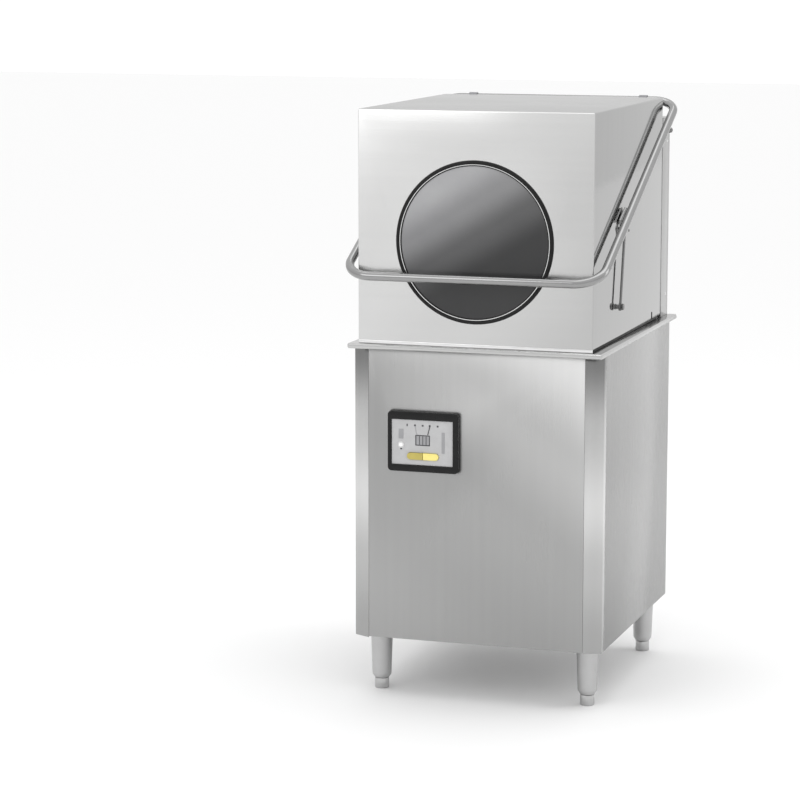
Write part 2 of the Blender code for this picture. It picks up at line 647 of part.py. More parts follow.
def build_carriage(name, side):
    """Slide shoe of the hood, with the piston rod of the gas spring under its arm."""
    shoe_low, shoe_high = side_limits(side, COLUMN_X[0] + 0.0028, COLUMN_X[1] - 0.0028)
    neck_low, neck_high = side_limits(side, STRUT_X - 0.0070, STRUT_X + 0.0070)
    shoe = box((shoe_low, COLUMN_Y[0] + 0.0028, 0.9100), (shoe_high, 0.3640, 1.0000))
    neck = box((neck_low, HOOD_BACK_Y + GAP, 0.9100), (neck_high, COLUMN_Y[0] + 0.0050, 1.0000))
    arm = box((neck_low, 0.3620, 0.9860), (neck_high, STRUT_Y + 0.010, 1.0000))
    centre = (side * STRUT_X, STRUT_Y, 0)
    rod = lathe([(0, 0.4850), (0.0117, 0.4850), (0.0117, 0.4930), (0.0040, 0.4930), (0.0040, 0.9900), (0, 0.9900)],
                centre=centre, segments=16)
    add_object(f"hood_carriage_{name}", join(shoe, neck, arm, rod), STEEL_DARK, roughness=0.35)


def build_rear_frame():
    back_low, back_high = BACK_PANEL_Y
    panel = box((-0.2900, back_low, RIM_TOP_Z + GAP), (0.2900, back_high, 1.4380))
    pocket = box((-0.2900 + SHEET, back_low + SHEET, RIM_TOP_Z + 0.0030), (0.2900 - SHEET, back_high + 0.01, 1.4360))
    add_object("chamber_back", cut(panel, pocket), STEEL)

    bridge_low = COLUMN_TOP_Z + GAP
    bridge_high = bridge_low + 0.0025
    add_object("top_bridge", box((-COLUMN_X[1], COLUMN_Y[0], bridge_low), (COLUMN_X[1], COLUMN_Y[1], bridge_high)),
               STEEL)
    base = bridge_high + GAP
    outline = [(0.3620, base), (0.4080, base), (0.4080, base + 0.0080), (PIVOT_Y + 0.0140, PIVOT_Z),
               (PIVOT_Y + 0.0100, PIVOT_Z + 0.0105), (PIVOT_Y, PIVOT_Z + 0.0140), (PIVOT_Y - 0.0100, PIVOT_Z + 0.0105),
               (PIVOT_Y - 0.0140, PIVOT_Z), (0.3620, base + 0.0080)]
    for name, side in SIDES:
        low, high = side_limits(side, 0.2200, 0.2420)
        bore = cylinder(TUBE_RADIUS + 0.0003, low - 0.01, high + 0.01, "X", (PIVOT_Y, PIVOT_Z))
        add_object(f"pivot_bearing_{name}", cut(prism(outline, "X", low, high), bore), GREY_PLASTIC,
                   metallic=0.0, roughness=0.5)


# ---- hood --------------------------------------------------------------------
def build_hood_panels():
    front_back_y = HOOD_FRONT_Y + HOOD_SHEET
    seam_z = HOOD_TOP_Z - 0.0015
    front = box((-HOOD_HALF_X, HOOD_FRONT_Y, RIM_TOP_Z + GAP), (HOOD_HALF_X, front_back_y, seam_z))
    hem = box((-0.2930, front_back_y - 0.0005, RIM_TOP_Z + GAP), (0.2930, front_back_y + 0.0035, 0.9080))
    hole = cylinder(WINDOW_RADIUS - 0.0065, -0.4, -0.3, "Y", (0, WINDOW_Z), 48)
    add_object("hood_front", cut(join(front, hem), hole), STEEL_BRIGHT, roughness=0.12)

    top = box((-HOOD_HALF_X, HOOD_FRONT_Y, seam_z + GAP), (HOOD_HALF_X, HOOD_BACK_Y, HOOD_TOP_Z))
    add_object("hood_top", top, STEEL_BRIGHT, roughness=0.15)

    for name, side in SIDES:
        low, high = side_limits(side, HOOD_HALF_X - HOOD_SHEET, HOOD_HALF_X)
        plate = box((low, front_back_y + GAP, HOOD_SIDE_LOW_Z), (high, HOOD_BACK_Y, seam_z))
        fold_low, fold_high = side_limits(side, 0.2600, HOOD_HALF_X - HOOD_SHEET / 2)
        fold = box((fold_low, HOOD_BACK_Y - HOOD_SHEET, HOOD_SIDE_LOW_Z), (fold_high, HOOD_BACK_Y, seam_z))
        post = [(0, HOOD_HALF_X - 0.0008), (0.0070, HOOD_HALF_X - 0.0008), (0.0070, LINK_X - 0.0034),
                (0.0040, LINK_X - 0.0034), (0.0040, LINK_X + 0.0034), (0.0075, LINK_X + 0.0034),
                (0.0075, 0.3175), (0, 0.3175)]
        stud = lathe([(r, side * x) for r, x in post], "X", (0, *LINK_LOW), 16)
        add_object(f"hood_side_{name}", join(plate, fold, stud), STEEL_BRIGHT, roughness=0.12)


def build_window():
    outer = WINDOW_RADIUS
    inner = outer - 0.015
    front = HOOD_FRONT_Y - 0.0050
    back = HOOD_FRONT_Y + HOOD_SHEET + 0.0040
    groove = (HOOD_FRONT_Y - GAP, HOOD_FRONT_Y + HOOD_SHEET + GAP)
    glass = (HOOD_FRONT_Y - 0.0014, HOOD_FRONT_Y + 0.0026)
    ring = [
        (inner, front), (outer - 0.002, front), (outer, front + 0.002), (outer, groove[0]), (outer - 0.0068, groove[0]),
        (outer - 0.0068, groove[1]), (outer, groove[1]), (outer, back), (inner, back), (inner, glass[1] + GAP),
        (inner + 0.0042, glass[1] + GAP), (inner + 0.0042, glass[0] - GAP), (inner, glass[0] - GAP),
    ]
    centre = (0, 0, WINDOW_Z)
    add_object("window_gasket", lathe(ring, "Y", centre, 48), BLACK, metallic=0.0, roughness=0.5)
    pane = cylinder(inner + 0.0038, *glass, "Y", (0, WINDOW_Z), 48)
    add_object("window_glass", pane, (0.10, 0.10, 0.11), metallic=0.0, roughness=0.05)


# ---- handle and links --------------------------------------------------------


def on_handle(along, above):
    """(y, z) of a point measured from the hinge axis along the arm and square to it."""
    return (
        PIVOT_Y - along * math.cos(SLOPE) - above * math.sin(SLOPE),
        PIVOT_Z - along * math.sin(SLOPE) + above * math.cos(SLOPE),
    )


def in_handle(y, z):
    """The same measure backwards."""
    dy, dz = y - PIVOT_Y, z - PIVOT_Z
    return -dy * math.cos(SLOPE) - dz * math.sin(SLOPE), -dy * math.sin(SLOPE) + dz * math.cos(SLOPE)


def build_handle():
    """Bent tube: a bar across the front, two arms, and the cross tube on the hinge axis."""
    corners = [
        (-HANDLE_HALF_X, HANDLE_FRONT_Y, HANDLE_FRONT_Z), (HANDLE_HALF_X, HANDLE_FRONT_Y, HANDLE_FRONT_Z),
        (HANDLE_HALF_X, PIVOT_Y, PIVOT_Z), (-HANDLE_HALF_X, PIVOT_Y, PIVOT_Z),
    ]
    bends = [FRONT_BEND, FRONT_BEND, REAR_BEND, REAR_BEND]
    path = rounded_path(corners, bends, steps=7, closed=True)
    solid = tube(path, TUBE_RADIUS, closed=True, resolution=3)
    hollow = tube(path, TUBE_RADIUS - 0.0018, closed=True, resolution=2)
    drain = cylinder(0.0025, PIVOT_Z - 0.03, PIVOT_Z, "Z", (0, PIVOT_Y), 12)

    pin_along, _ = in_handle(*LINK_HIGH)
    slack = PIN_RADIUS + 0.0010
    slot_along = (pin_along - PIN_TRAVEL_ALONG - slack, pin_along + slack)
    slot_above = (PIN_TRAVEL_ABOVE[0] - slack, PIN_TRAVEL_ABOVE[1] + slack)
    edge = 0.0070
    plate_outline = [
        (slot_along[0] - edge, slot_above[0] - edge / 2), (slot_along[0] - edge / 2, slot_above[0] - edge),
        (slot_along[1] + edge / 2, slot_above[0] - edge), (slot_along[1] + edge, slot_above[0] - edge / 2),
        (slot_along[1] + edge, -0.0040), (slot_along[0] - edge, -0.0040),
    ]
    slot_outline = [(slot_along[0], slot_above[0]), (slot_along[1], slot_above[0]),
                    (slot_along[1], slot_above[1]), (slot_along[0], slot_above[1])]
    inset = 0.0020
    block_outline = [(slot_along[0] - edge + inset, -0.0120), (slot_along[1] + edge - inset, -0.0120),
                     (slot_along[1] + edge - inset, -0.0052), (slot_along[0] - edge + inset, -0.0052)]
    lugs = []
    slots = []
    for _, side in SIDES:
        plate_x = side_limits(side, *LUG_X)
        block_x = side_limits(side, LUG_X[1] - 0.0010, HANDLE_HALF_X - 0.0050)
        slot_x = side_limits(side, LUG_X[0] - 0.01, LUG_X[1] + 0.01)
        lugs.append(prism([on_handle(*p) for p in plate_outline], "X", *plate_x))
        lugs.append(prism([on_handle(*p) for p in block_outline], "X", *block_x))
        slots.append(prism([on_handle(*p) for p in slot_outline], "X", *slot_x))
    body = cut(join(solid, *lugs), hollow, drain, *slots)
    add_object("handle_bar", body, STEEL_BRIGHT, roughness=0.15, origin=(0, PIVOT_Y, PIVOT_Z))


def build_link(name, side):
    """Round rod with an eye at each end; the upper eye carries the pin in the lug's slot."""
    x = side * LINK_X
    low = Vector((x, *LINK_LOW))
    high = Vector((x, *LINK_HIGH))
    along = high - low
    rod = cylinder(0.0033, 0.0065, along.length - 0.0060, segments=12)
    rod.transform(Matrix.Translation(low) @ along.to_track_quat("Z", "Y").to_matrix().to_4x4())
    x_low, x_high = side_limits(side, LINK_X - 0.0030, LINK_X + 0.0030)
    low_eye = lathe([(0.0044, x_low), (0.0095, x_low), (0.0095, x_high), (0.0044, x_high)], "X", (0, *LINK_LOW), 20)
    high_eye = cylinder(0.0085, x_low, x_high, "X", LINK_HIGH, 20)
    pin_low, pin_high = side_limits(side, LUG_X[0] - 0.0006, LINK_X)
    pin = cylinder(PIN_RADIUS, pin_low, pin_high, "X", LINK_HIGH, 16)
    head_low, head_high = side_limits(side, LUG_X[0] - 0.0024, LUG_X[0] - 0.0004)
    head = cylinder(PIN_RADIUS + 0.0015, head_low, head_high, "X", LINK_HIGH, 16)
    add_object(f"link_{name}", join(low_eye, rod, high_eye, pin, head), STEEL_DARK, roughness=0.3, origin=low)


def main():
    clear_scene()
    build_chassis()
    build_front_panel()
    build_rear_panel()
    build_legs()
    build_rim()
    build_tank()
    build_strainer()
    build_rack_rails()
    build_drain()
    build_heating_element()
    build_pump()
    build_manifold()
    build_spray_arms()
    build_boiler()
    build_inlet()
    build_control_panel()
    build_rear_frame()
    build_hood_panels()
    build_window()
    build_handle()
    for name, side in SIDES:
        build_corner_post(name, side)
        build_side_panel(name, side)
        build_column(name, side)
        build_strut(name, side)
        build_carriage(name, side)
        build_link(name, side)


main()
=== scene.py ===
"""Looks of a hood-type dishwasher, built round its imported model.

Metres, +Z up, the front faces -Y.  Round and folded parts are made again at a finer
grain than the model's solids, and every surface has a procedural material.
"""
import math

import bmesh
import bpy
from mathutils import Matrix, Vector


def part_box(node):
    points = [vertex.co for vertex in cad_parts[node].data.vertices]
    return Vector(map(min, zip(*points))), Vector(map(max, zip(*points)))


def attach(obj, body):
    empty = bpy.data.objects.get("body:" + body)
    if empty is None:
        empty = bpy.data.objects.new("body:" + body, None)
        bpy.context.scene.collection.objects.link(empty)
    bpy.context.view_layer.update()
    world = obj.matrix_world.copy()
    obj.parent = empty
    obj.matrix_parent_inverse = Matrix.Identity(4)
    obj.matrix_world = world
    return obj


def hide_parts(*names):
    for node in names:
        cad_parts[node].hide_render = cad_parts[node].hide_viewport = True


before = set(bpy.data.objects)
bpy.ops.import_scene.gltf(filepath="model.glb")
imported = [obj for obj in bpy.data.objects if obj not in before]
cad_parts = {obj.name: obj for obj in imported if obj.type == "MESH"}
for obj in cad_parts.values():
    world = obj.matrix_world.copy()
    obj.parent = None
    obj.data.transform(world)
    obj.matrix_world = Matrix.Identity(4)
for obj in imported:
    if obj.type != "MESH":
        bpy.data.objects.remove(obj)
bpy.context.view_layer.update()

SIDES = (("left", -1), ("right", 1))

# hood, window and the small things on the hood's sides; pairs are (y, z)
HOOD_SHEET = 0.0012
HOOD_FOLD = 0.0030
WINDOW_Z = 1.144
WINDOW_HOLE_RADIUS = 0.1915
GASKET_BEAD = 0.0048
PANE_RISE = 0.0022
RIVET = (-0.020, 1.150)

# links and handle; pairs are (y, z), and a slot is given along the arm and above its middle line
LINK_X = 0.3080
LINK_EYE_X = (0.3050, 0.3110)
LINK_ROD_RADIUS = 0.0033
LINK_LOW = (-0.149, 0.975)
LINK_HIGH = (-0.112, 1.163)
PIVOT = (0.385, 1.449)
HANDLE_FRONT = (-0.405, 1.0584)
HANDLE_HALF_X = 0.3214
HANDLE_TUBE_RADIUS = 0.011
HANDLE_BENDS = (0.068, 0.068, 0.060, 0.060)
SLOPE = math.atan2(PIVOT[1] - HANDLE_FRONT[1], PIVOT[0] - HANDLE_FRONT[0])
LUG_X = (0.2987, 0.3037)
LUG_EDGE = 0.0070
SLOT_ALONG = (0.5298, 0.5773)
SLOT_ABOVE = (-0.0421, -0.0244)

# control panel: printed marks, in x and z
PRINT_THICK = 0.0005
PRINT_GAP = 0.00005
SCALE_MARKS_X = (-0.1710, -0.1508, -0.1312, -0.1131, -0.0928)
SCALE_MARKS_TALL = (0.0060, 0.0044, 0.0040, 0.0050, 0.0044)
SCALE_Z = 0.6905
RACK_SYMBOL_X = (-0.1500, -0.1125)
RACK_SYMBOL_Z = (0.6405, 0.6670)
POINTER_Z = (0.6880, 0.6680)

# strainer mesh: cells across, rib left round each hole, plate thickness
MESH_CELLS = 34
MESH_RIB = 0.0030
MESH_THICK = 0.0012

# studio
CAMERA_AZIMUTH = math.radians(18.344)
CAMERA_PITCH = math.radians(9.177)
CAMERA_LENS = 128.72
CAMERA_PLACE = (1.984, -6.918, 1.867)
FLOOR_HALF = 30.0
WORLD_LOW = 0.80
WORLD_HIGH = 1.10
KEY_POWER = 25
TOP_POWER = 30
RIGHT_POWER = 10


# ---- materials -----------------------------------------------------------------
def new_material(name, colour, metallic=0.0, roughness=0.5):
    mat = bpy.data.materials.new(name)
    mat.use_nodes = True
    shader = mat.node_tree.nodes["Principled BSDF"]
    shader.inputs["Base Color"].default_value = (*colour, 1.0)
    shader.inputs["Metallic"].default_value = metallic
    shader.inputs["Roughness"].default_value = roughness
    return mat, mat.node_tree, shader


def stretched_noise(tree, scale, detail=2.0):
    """Noise in object space; scale is the number of features per metre along X, Y and Z."""
    coords = tree.nodes.new("ShaderNodeTexCoord")
    mapping = tree.nodes.new("ShaderNodeMapping")
    mapping.inputs["Scale"].default_value = scale
    noise = tree.nodes.new("ShaderNodeTexNoise")
    noise.inputs["Scale"].default_value = 1.0
    noise.inputs["Detail"].default_value = detail
    tree.links.new(coords.outputs["Object"], mapping.inputs["Vector"])
    tree.links.new(mapping.outputs["Vector"], noise.inputs["Vector"])
    return noise.outputs["Fac"]


def map_range(tree, value, low, high, start=0.3, end=0.7):
    node = tree.nodes.new("ShaderNodeMapRange")
    node.inputs["From Min"].default_value = start
    node.inputs["From Max"].default_value = end
    node.inputs["To Min"].default_value = low
    node.inputs["To Max"].default_value = high
    tree.links.new(value, node.inputs["Value"])
    return node.outputs["Result"]


def blend_colours(tree, value, first, second):
    ramp = tree.nodes.new("ShaderNodeValToRGB")
    ramp.color_ramp.elements[0].position = 0.3
    ramp.color_ramp.elements[0].color = (*first, 1.0)
    ramp.color_ramp.elements[1].position = 0.7
    ramp.color_ramp.elements[1].color = (*second, 1.0)
    tree.links.new(value, ramp.inputs["Fac"])
    return ramp.outputs["Color"]


def add_bump(tree, shader, height, strength, distance):
    bump = tree.nodes.new("ShaderNodeBump")
    bump.inputs["Strength"].default_value = strength
    bump.inputs["Distance"].default_value = distance
    tree.links.new(height, bump.inputs["Height"])
    tree.links.new(bump.outputs["Normal"], shader.inputs["Normal"])


def paint_light_ramp(tree, colour, direction, start, end, factors):
    """Paints light and shade into a colour: multiplies it by factors spread evenly along a direction, from
    start to end in metres.
    """
    coords = tree.nodes.new("ShaderNodeTexCoord")
    dot = tree.nodes.new("ShaderNodeVectorMath")
    dot.operation = "DOT_PRODUCT"
    dot.inputs[1].default_value = Vector(direction).normalized()
    tree.links.new(coords.outputs["Object"], dot.inputs[0])
    ramp = tree.nodes.new("ShaderNodeValToRGB")
    ramp.color_ramp.interpolation = "EASE"
    for k, factor in enumerate(factors):
        place = k / (len(factors) - 1)
        stops = ramp.color_ramp.elements
        stop = stops[k] if k < 2 else stops.new(place)
        stop.position = place
        stop.color = (factor, factor, factor, 1.0)
    tree.links.new(map_range(tree, dot.outputs["Value"], 0.0, 1.0, start, end), ramp.inputs["Fac"])
    mix = tree.nodes.new("ShaderNodeMix")
    mix.data_type = "RGBA"
    mix.blend_type = "MULTIPLY"
    mix.inputs["Factor"].default_value = 1.0
    tree.links.new(colour, mix.inputs[6])
    tree.links.new(ramp.outputs["Color"], mix.inputs[7])
    return mix.outputs[2]


def brushed_steel(name, tone, roughness, along="Z", spread=0.04, tint=0.03, bump=0.12, painted_light=None):
    """Stainless sheet: fine strokes along one axis, broad stains in gloss, slight random tone bands, and
    optional painted light and shade along a direction.
    """
    colour = (tone, tone, tone * 0.995)
    mat, tree, shader = new_material(name, colour, 1.0, roughness)
    fine = {"X": (3.0, 900.0, 900.0), "Y": (900.0, 3.0, 900.0), "Z": (900.0, 900.0, 3.0)}[along]
    strokes = stretched_noise(tree, fine, 3.0)
    broad = {"X": (0.8, 60.0, 60.0), "Y": (60.0, 0.8, 60.0), "Z": (60.0, 60.0, 0.8)}[along]
    bands = stretched_noise(tree, broad, 2.0)
    stains = stretched_noise(tree, (5.0, 5.0, 5.0), 4.0)
    mix = tree.nodes.new("ShaderNodeMath")
    mix.operation = "MULTIPLY_ADD"
    mix.inputs[1].default_value = 0.5
    tree.links.new(stains, mix.inputs[0])
    half_strokes = map_range(tree, strokes, 0.0, 0.5, 0.0, 1.0)
    tree.links.new(half_strokes, mix.inputs[2])
    tree.links.new(map_range(tree, mix.outputs[0], roughness - spread, roughness + spread),
                   shader.inputs["Roughness"])
    dark = tuple(c * (1.0 - tint) for c in colour)
    light = tuple(min(1.0, c * (1.0 + tint)) for c in colour)
    shade = blend_colours(tree, bands, dark, light)
    # painted light and shade: a ramp along one direction brightens and darkens the steel's colour
    if painted_light:
        shade = paint_light_ramp(tree, shade, *painted_light)
    tree.links.new(shade, shader.inputs["Base Color"])
    add_bump(tree, shader, strokes, bump, 0.0004)
    return mat


def satin_steel(name, tone, roughness):
    """Turned or cast steel with an even fine grain."""
    colour = (tone, tone, tone)
    mat, tree, shader = new_material(name, colour, 1.0, roughness)
    grain = stretched_noise(tree, (700.0, 700.0, 700.0), 3.0)
    stains = stretched_noise(tree, (25.0, 25.0, 25.0), 3.0)
    gloss = map_range(tree, stains, roughness - 0.05, roughness + 0.07)
    tree.links.new(gloss, shader.inputs["Roughness"])
    dark = tuple(c * 0.93 for c in colour)
    tree.links.new(blend_colours(tree, stains, dark, colour), shader.inputs["Base Color"])
    add_bump(tree, shader, grain, 0.10, 0.0003)
    return mat


def moulded(name, colour, roughness, grain=450.0, coat=0.0, shine=0.5):
    """Moulded plastic or rubber with a fine leathery grain and dusty patches."""
    mat, tree, shader = new_material(name, colour, 0.0, roughness)
    shader.inputs["Coat Weight"].default_value = coat
    shader.inputs["Coat Roughness"].default_value = 0.12
    shader.inputs["Specular IOR Level"].default_value = shine
    texture = stretched_noise(tree, (grain, grain, grain), 3.0)
    patches = stretched_noise(tree, (30.0, 30.0, 30.0), 4.0)
    gloss = map_range(tree, patches, roughness - 0.06, roughness + 0.08)
    tree.links.new(gloss, shader.inputs["Roughness"])
    dusty = tuple(min(1.0, c * 1.12 + 0.004) for c in colour)
    tree.links.new(blend_colours(tree, patches, colour, dusty), shader.inputs["Base Color"])
    add_bump(tree, shader, texture, 0.15, 0.0002)
    return mat


def smoked_glass(name):
    """Toughened pane, smoke tinted, with a painted reflection that brightens its colour towards its upper
    left, and a film left by steam.
    """
    mat, tree, shader = new_material(name, (0.30, 0.30, 0.305), 0.0, 0.12)
    film = stretched_noise(tree, (7.0, 7.0, 7.0), 4.0)
    tree.links.new(map_range(tree, film, 0.08, 0.17), shader.inputs["Roughness"])
    tint = blend_colours(tree, film, (0.35, 0.35, 0.36), (0.40, 0.40, 0.405))
    # painted reflection: the pane's colour is a tenth as bright at its lower right as at its upper left
    tint = paint_light_ramp(tree, tint, (-0.6, 0, 1), 0.84, 1.14, (0.10, 0.10, 0.26, 0.62, 1.0))
    tree.links.new(tint, shader.inputs["Base Color"])
    shader.inputs["IOR"].default_value = 1.40
    add_bump(tree, shader, film, 0.05, 0.001)
    return mat


MAT = {
    # hood front: a colour ramp brighter towards its upper left, a painted highlight
    "hood_front": brushed_steel("hood_front_steel_painted_highlight", 0.84, 0.20, "X", tint=0.012, bump=0.05,
                                painted_light=((-0.9, 0, 1), 0.45, 1.25, (0.62, 0.74, 0.84, 1.0))),
    # hood sides and top: the same sheet as the front in a much darker tone, painted shade
    "hood_side": brushed_steel("hood_side_steel_painted_shade", 0.45, 0.07, "Z", spread=0.02, tint=0.012, bump=0.02),
    "hood_top": brushed_steel("hood_top_steel_painted_shade", 0.41, 0.24, "X", tint=0.02, bump=0.06),
    # cabinet front: a colour ramp brighter towards its upper right, painted highlight and shade
    "panel": brushed_steel("panel_steel_painted_light", 0.80, 0.30, "Z", tint=0.015,
                           painted_light=((0.7, 0, 1), 0.05, 0.85, (0.48, 0.44, 0.46, 0.64, 1.0))),
    # corner posts: the colour brightens and darkens in bands up the post, a painted reflection
    "post": brushed_steel("post_steel_painted_reflection", 0.64, 0.20, "Z", tint=0.02, bump=0.08,
                          painted_light=((0, 0, 1), 0.18, 0.87, (0.60, 0.72, 1.0, 0.85, 0.34))),
    # cabinet sides: a darker tone than the front and darker towards the bottom, painted shade
    "side": brushed_steel("side_steel_painted_shade", 0.46, 0.28, "Z", tint=0.015,
                          painted_light=((0, 0, 1), 0.18, 0.87, (0.62, 0.78, 1.0))),
    # rim: a darker tone than the panels, painted shade
    "rim": brushed_steel("rim_steel_painted_shade", 0.54, 0.20, "X", bump=0.06),
    "inner": brushed_steel("inner_steel", 0.52, 0.32, "X"),
    "frame": brushed_steel("frame_steel", 0.50, 0.30, "Z"),
    "tube": satin_steel("polished_tube", 0.33, 0.14),
    "leg": satin_steel("satin_leg", 0.55, 0.34),
    "dark": satin_steel("dark_steel", 0.22, 0.34),
    "trim": satin_steel("bright_trim", 0.82, 0.14),
    "rubber": moulded("black_rubber", (0.006, 0.006, 0.006), 0.42, shine=0.22),
    "bezel": moulded("black_bezel", (0.004, 0.004, 0.004), 0.24, shine=0.26),
    "grey": moulded("grey_plastic", (0.22, 0.22, 0.23), 0.50),
    "membrane": moulded("silver_membrane", (0.45, 0.45, 0.455), 0.42, grain=900.0, coat=0.2),
    "print": moulded("printed_ink", (0.05, 0.05, 0.055), 0.5, grain=900.0),
    "print_grey": moulded("grey_ink", (0.30, 0.30, 0.31), 0.5, grain=900.0),
    "white": moulded("white_button", (0.90, 0.90, 0.90), 0.30, coat=0.4),
    "olive": moulded("olive_button", (0.46, 0.38, 0.08), 0.35, coat=0.3),
    "yellow": moulded("yellow_button", (0.86, 0.74, 0.22), 0.32, coat=0.3),
    "paint": moulded("dark_paint", (0.03, 0.035, 0.045), 0.38, coat=0.2),
    "brass": satin_steel("brass_fitting", 0.5, 0.3),
    "glass": smoked_glass("smoked_pane_painted_reflection"),
}


# ---- shapes --------------------------------------------------------------------
def finish_piece(obj, body, material, replaces=()):
    obj.data.materials.clear()
    obj.data.materials.append(MAT[material])
    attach(obj, body)
    if replaces:
        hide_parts(*replaces)
    return obj


def object_from(bm, name, smooth_angle=None):
    bmesh.ops.recalc_face_normals(bm, faces=bm.faces)
    mesh = bpy.data.meshes.new(name)
    bm.to_mesh(mesh)
    bm.free()
    if smooth_angle:
        mesh.shade_smooth()
        mesh.set_sharp_from_angle(angle=math.radians(smooth_angle))
    obj = bpy.data.objects.new(name, mesh)
    bpy.context.scene.collection.objects.link(obj)
    return obj


def softened(node, name, width, segments=2, angle=30):
    """A copy of a node's solid with its sharp edges rounded off."""
    bm = bmesh.new()
    bm.from_mesh(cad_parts[node].data)
    bmesh.ops.remove_doubles(bm, verts=bm.verts, dist=1e-5)
    bmesh.ops.dissolve_limit(bm, angle_limit=math.radians(1.0), verts=bm.verts, edges=bm.edges)
    if width:
        limit = math.radians(angle)
        sharp = [e for e in bm.edges if len(e.link_faces) == 2 and e.calc_face_angle(0) > limit]
        bmesh.ops.bevel(bm, geom=sharp, offset=width, segments=segments, profile=0.5,
                        affect="EDGES", clamp_overlap=True)
    return object_from(bm, name, 40)


def box_piece(name, low, high, bevel=0.001, segments=2):
    bm = bmesh.new()
    bmesh.ops.create_cube(bm, size=1.0)
    bmesh.ops.scale(bm, vec=[b - a for a, b in zip(low, high)], verts=bm.verts)
    bmesh.ops.translate(bm, vec=[(a + b) / 2 for a, b in zip(low, high)], verts=bm.verts)
    bmesh.ops.bevel(bm, geom=bm.edges[:], offset=bevel, segments=segments, profile=0.5,
                    affect="EDGES", clamp_overlap=True)
    return object_from(bm, name, 40)


AXIS_TURN = {
    "Z": Matrix.Identity(4),
    "Y": Matrix.Rotation(-math.pi / 2, 4, "X"),
    "X": Matrix.Rotation(math.pi / 2, 4, "Y"),
}


def turned(name, profile, axis="Z", centre=(0, 0, 0), segments=64, angle=35):
    """Turns (radius, height) points about an axis; a profile off the axis closes on itself."""
    solid = profile[0][0] == 0
    bm = bmesh.new()
    verts = [bm.verts.new((r, 0, h)) for r, h in profile]
    ends = verts[1:] if solid else verts[1:] + verts[:1]
    edges = [bm.edges.new(pair) for pair in zip(verts, ends)]
    bmesh.ops.spin(bm, geom=verts + edges, cent=(0, 0, 0), axis=(0, 0, 1),
                   angle=math.tau, steps=segments, use_merge=True)
    bmesh.ops.remove_doubles(bm, verts=bm.verts, dist=1e-6)
    bmesh.ops.transform(bm, matrix=Matrix.Translation(centre) @ AXIS_TURN[axis], verts=bm.verts)
    return object_from(bm, name, angle)


def arc(cx, cy, radius, start, end, steps=6):
    """Points of an arc in a plane; angles in degrees."""
    sweep = [math.radians(start + (end - start) * k / steps) for k in range(steps + 1)]
    return [(cx + radius * math.cos(a), cy + radius * math.sin(a)) for a in sweep]


def rounded_rectangle(x_low, x_high, z_low, z_high, radius, steps=6):
    return (arc(x_high - radius, z_high - radius, radius, 0, 90, steps)
            + arc(x_low + radius, z_high - radius, radius, 90, 180, steps)
            + arc(x_low + radius, z_low + radius, radius, 180, 270, steps)
            + arc(x_high - radius, z_low + radius, radius, 270, 360, steps))


# turns a flat outline so that its thickness runs along the named axis
PLATE_TURN = {
    "Z": Matrix.Identity(4),
    "Y": Matrix(((1, 0, 0, 0), (0, 0, -1, 0), (0, 1, 0, 0), (0, 0, 0, 1))),
    "X": Matrix(((0, 0, 1, 0), (1, 0, 0, 0), (0, 1, 0, 0), (0, 0, 0, 1))),
}


def curve_mesh(name, curve):
    """The surface that a curve draws, as a bmesh."""
    guide = bpy.data.objects.new(name + "_guide", curve)
    bpy.context.scene.collection.objects.link(guide)
    bpy.context.view_layer.update()
    graph = bpy.context.evaluated_depsgraph_get()
    mesh = bpy.data.meshes.new_from_object(guide.evaluated_get(graph))
    bpy.data.objects.remove(guide, do_unlink=True)
    bm = bmesh.new()
    bm.from_mesh(mesh)
    bmesh.ops.remove_doubles(bm, verts=bm.verts, dist=1e-6)
    return bm


def plate(name, outlines, axis, low, high, bevel=0.0):
    """Flat plate from one outline and any holes, given as (a, b) points in its plane."""
    curve = bpy.data.curves.new(name, "CURVE")
    curve.dimensions = "2D"
    curve.fill_mode = "BOTH"
    curve.extrude = (high - low) / 2 - bevel
    curve.bevel_depth = bevel
    curve.bevel_resolution = 2
    curve.offset = -bevel
    curve.resolution_u = 1
    for outline in outlines:
        spline = curve.splines.new("POLY")
        spline.points.add(len(outline) - 1)
        for point, (a, b) in zip(spline.points, outline):
            point.co = (a, b, 0, 1)
        spline.use_cyclic_u = True
    shift = Vector((0, 0, 0))
    shift["XYZ".index(axis)] = (low + high) / 2
    bm = curve_mesh(name, curve)
    bmesh.ops.transform(bm, matrix=Matrix.Translation(shift) @ PLATE_TURN[axis], verts=bm.verts)
    return object_from(bm, name, 35)


def rounded_path(points, radii, steps=16, closed=False):
    points = [Vector(p) for p in points]
    count = len(points)
    path = []
    for i, corner in enumerate(points):
        if not closed and i in (0, count - 1):
            path.append(corner)
            continue
        back = (points[i - 1] - corner).normalized()
        ahead = (points[(i + 1) % count] - corner).normalized()
        half = back.angle(ahead) / 2
        centre = corner + (back + ahead).normalized() * (radii[i] / math.sin(half))
        start = corner + back * (radii[i] / math.tan(half))
        end = corner + ahead * (radii[i] / math.tan(half))
        for k in range(steps + 1):
            spoke = (start - centre).normalized().slerp((end - centre).normalized(), k / steps)
            path.append(centre + spoke * radii[i])
    return path


def swept(name, path, radius, closed=False, resolution=6):
    curve = bpy.data.curves.new(name, "CURVE")
    curve.dimensions = "3D"
    curve.bevel_depth = radius
    curve.bevel_resolution = resolution
    curve.use_fill_caps = not closed
    spline = curve.splines.new("POLY")
    spline.points.add(len(path) - 1)
    for point, spot in zip(spline.points, path):
        point.co = (*spot, 1.0)
    spline.use_cyclic_u = closed
    return object_from(curve_mesh(name, curve), name, 40)


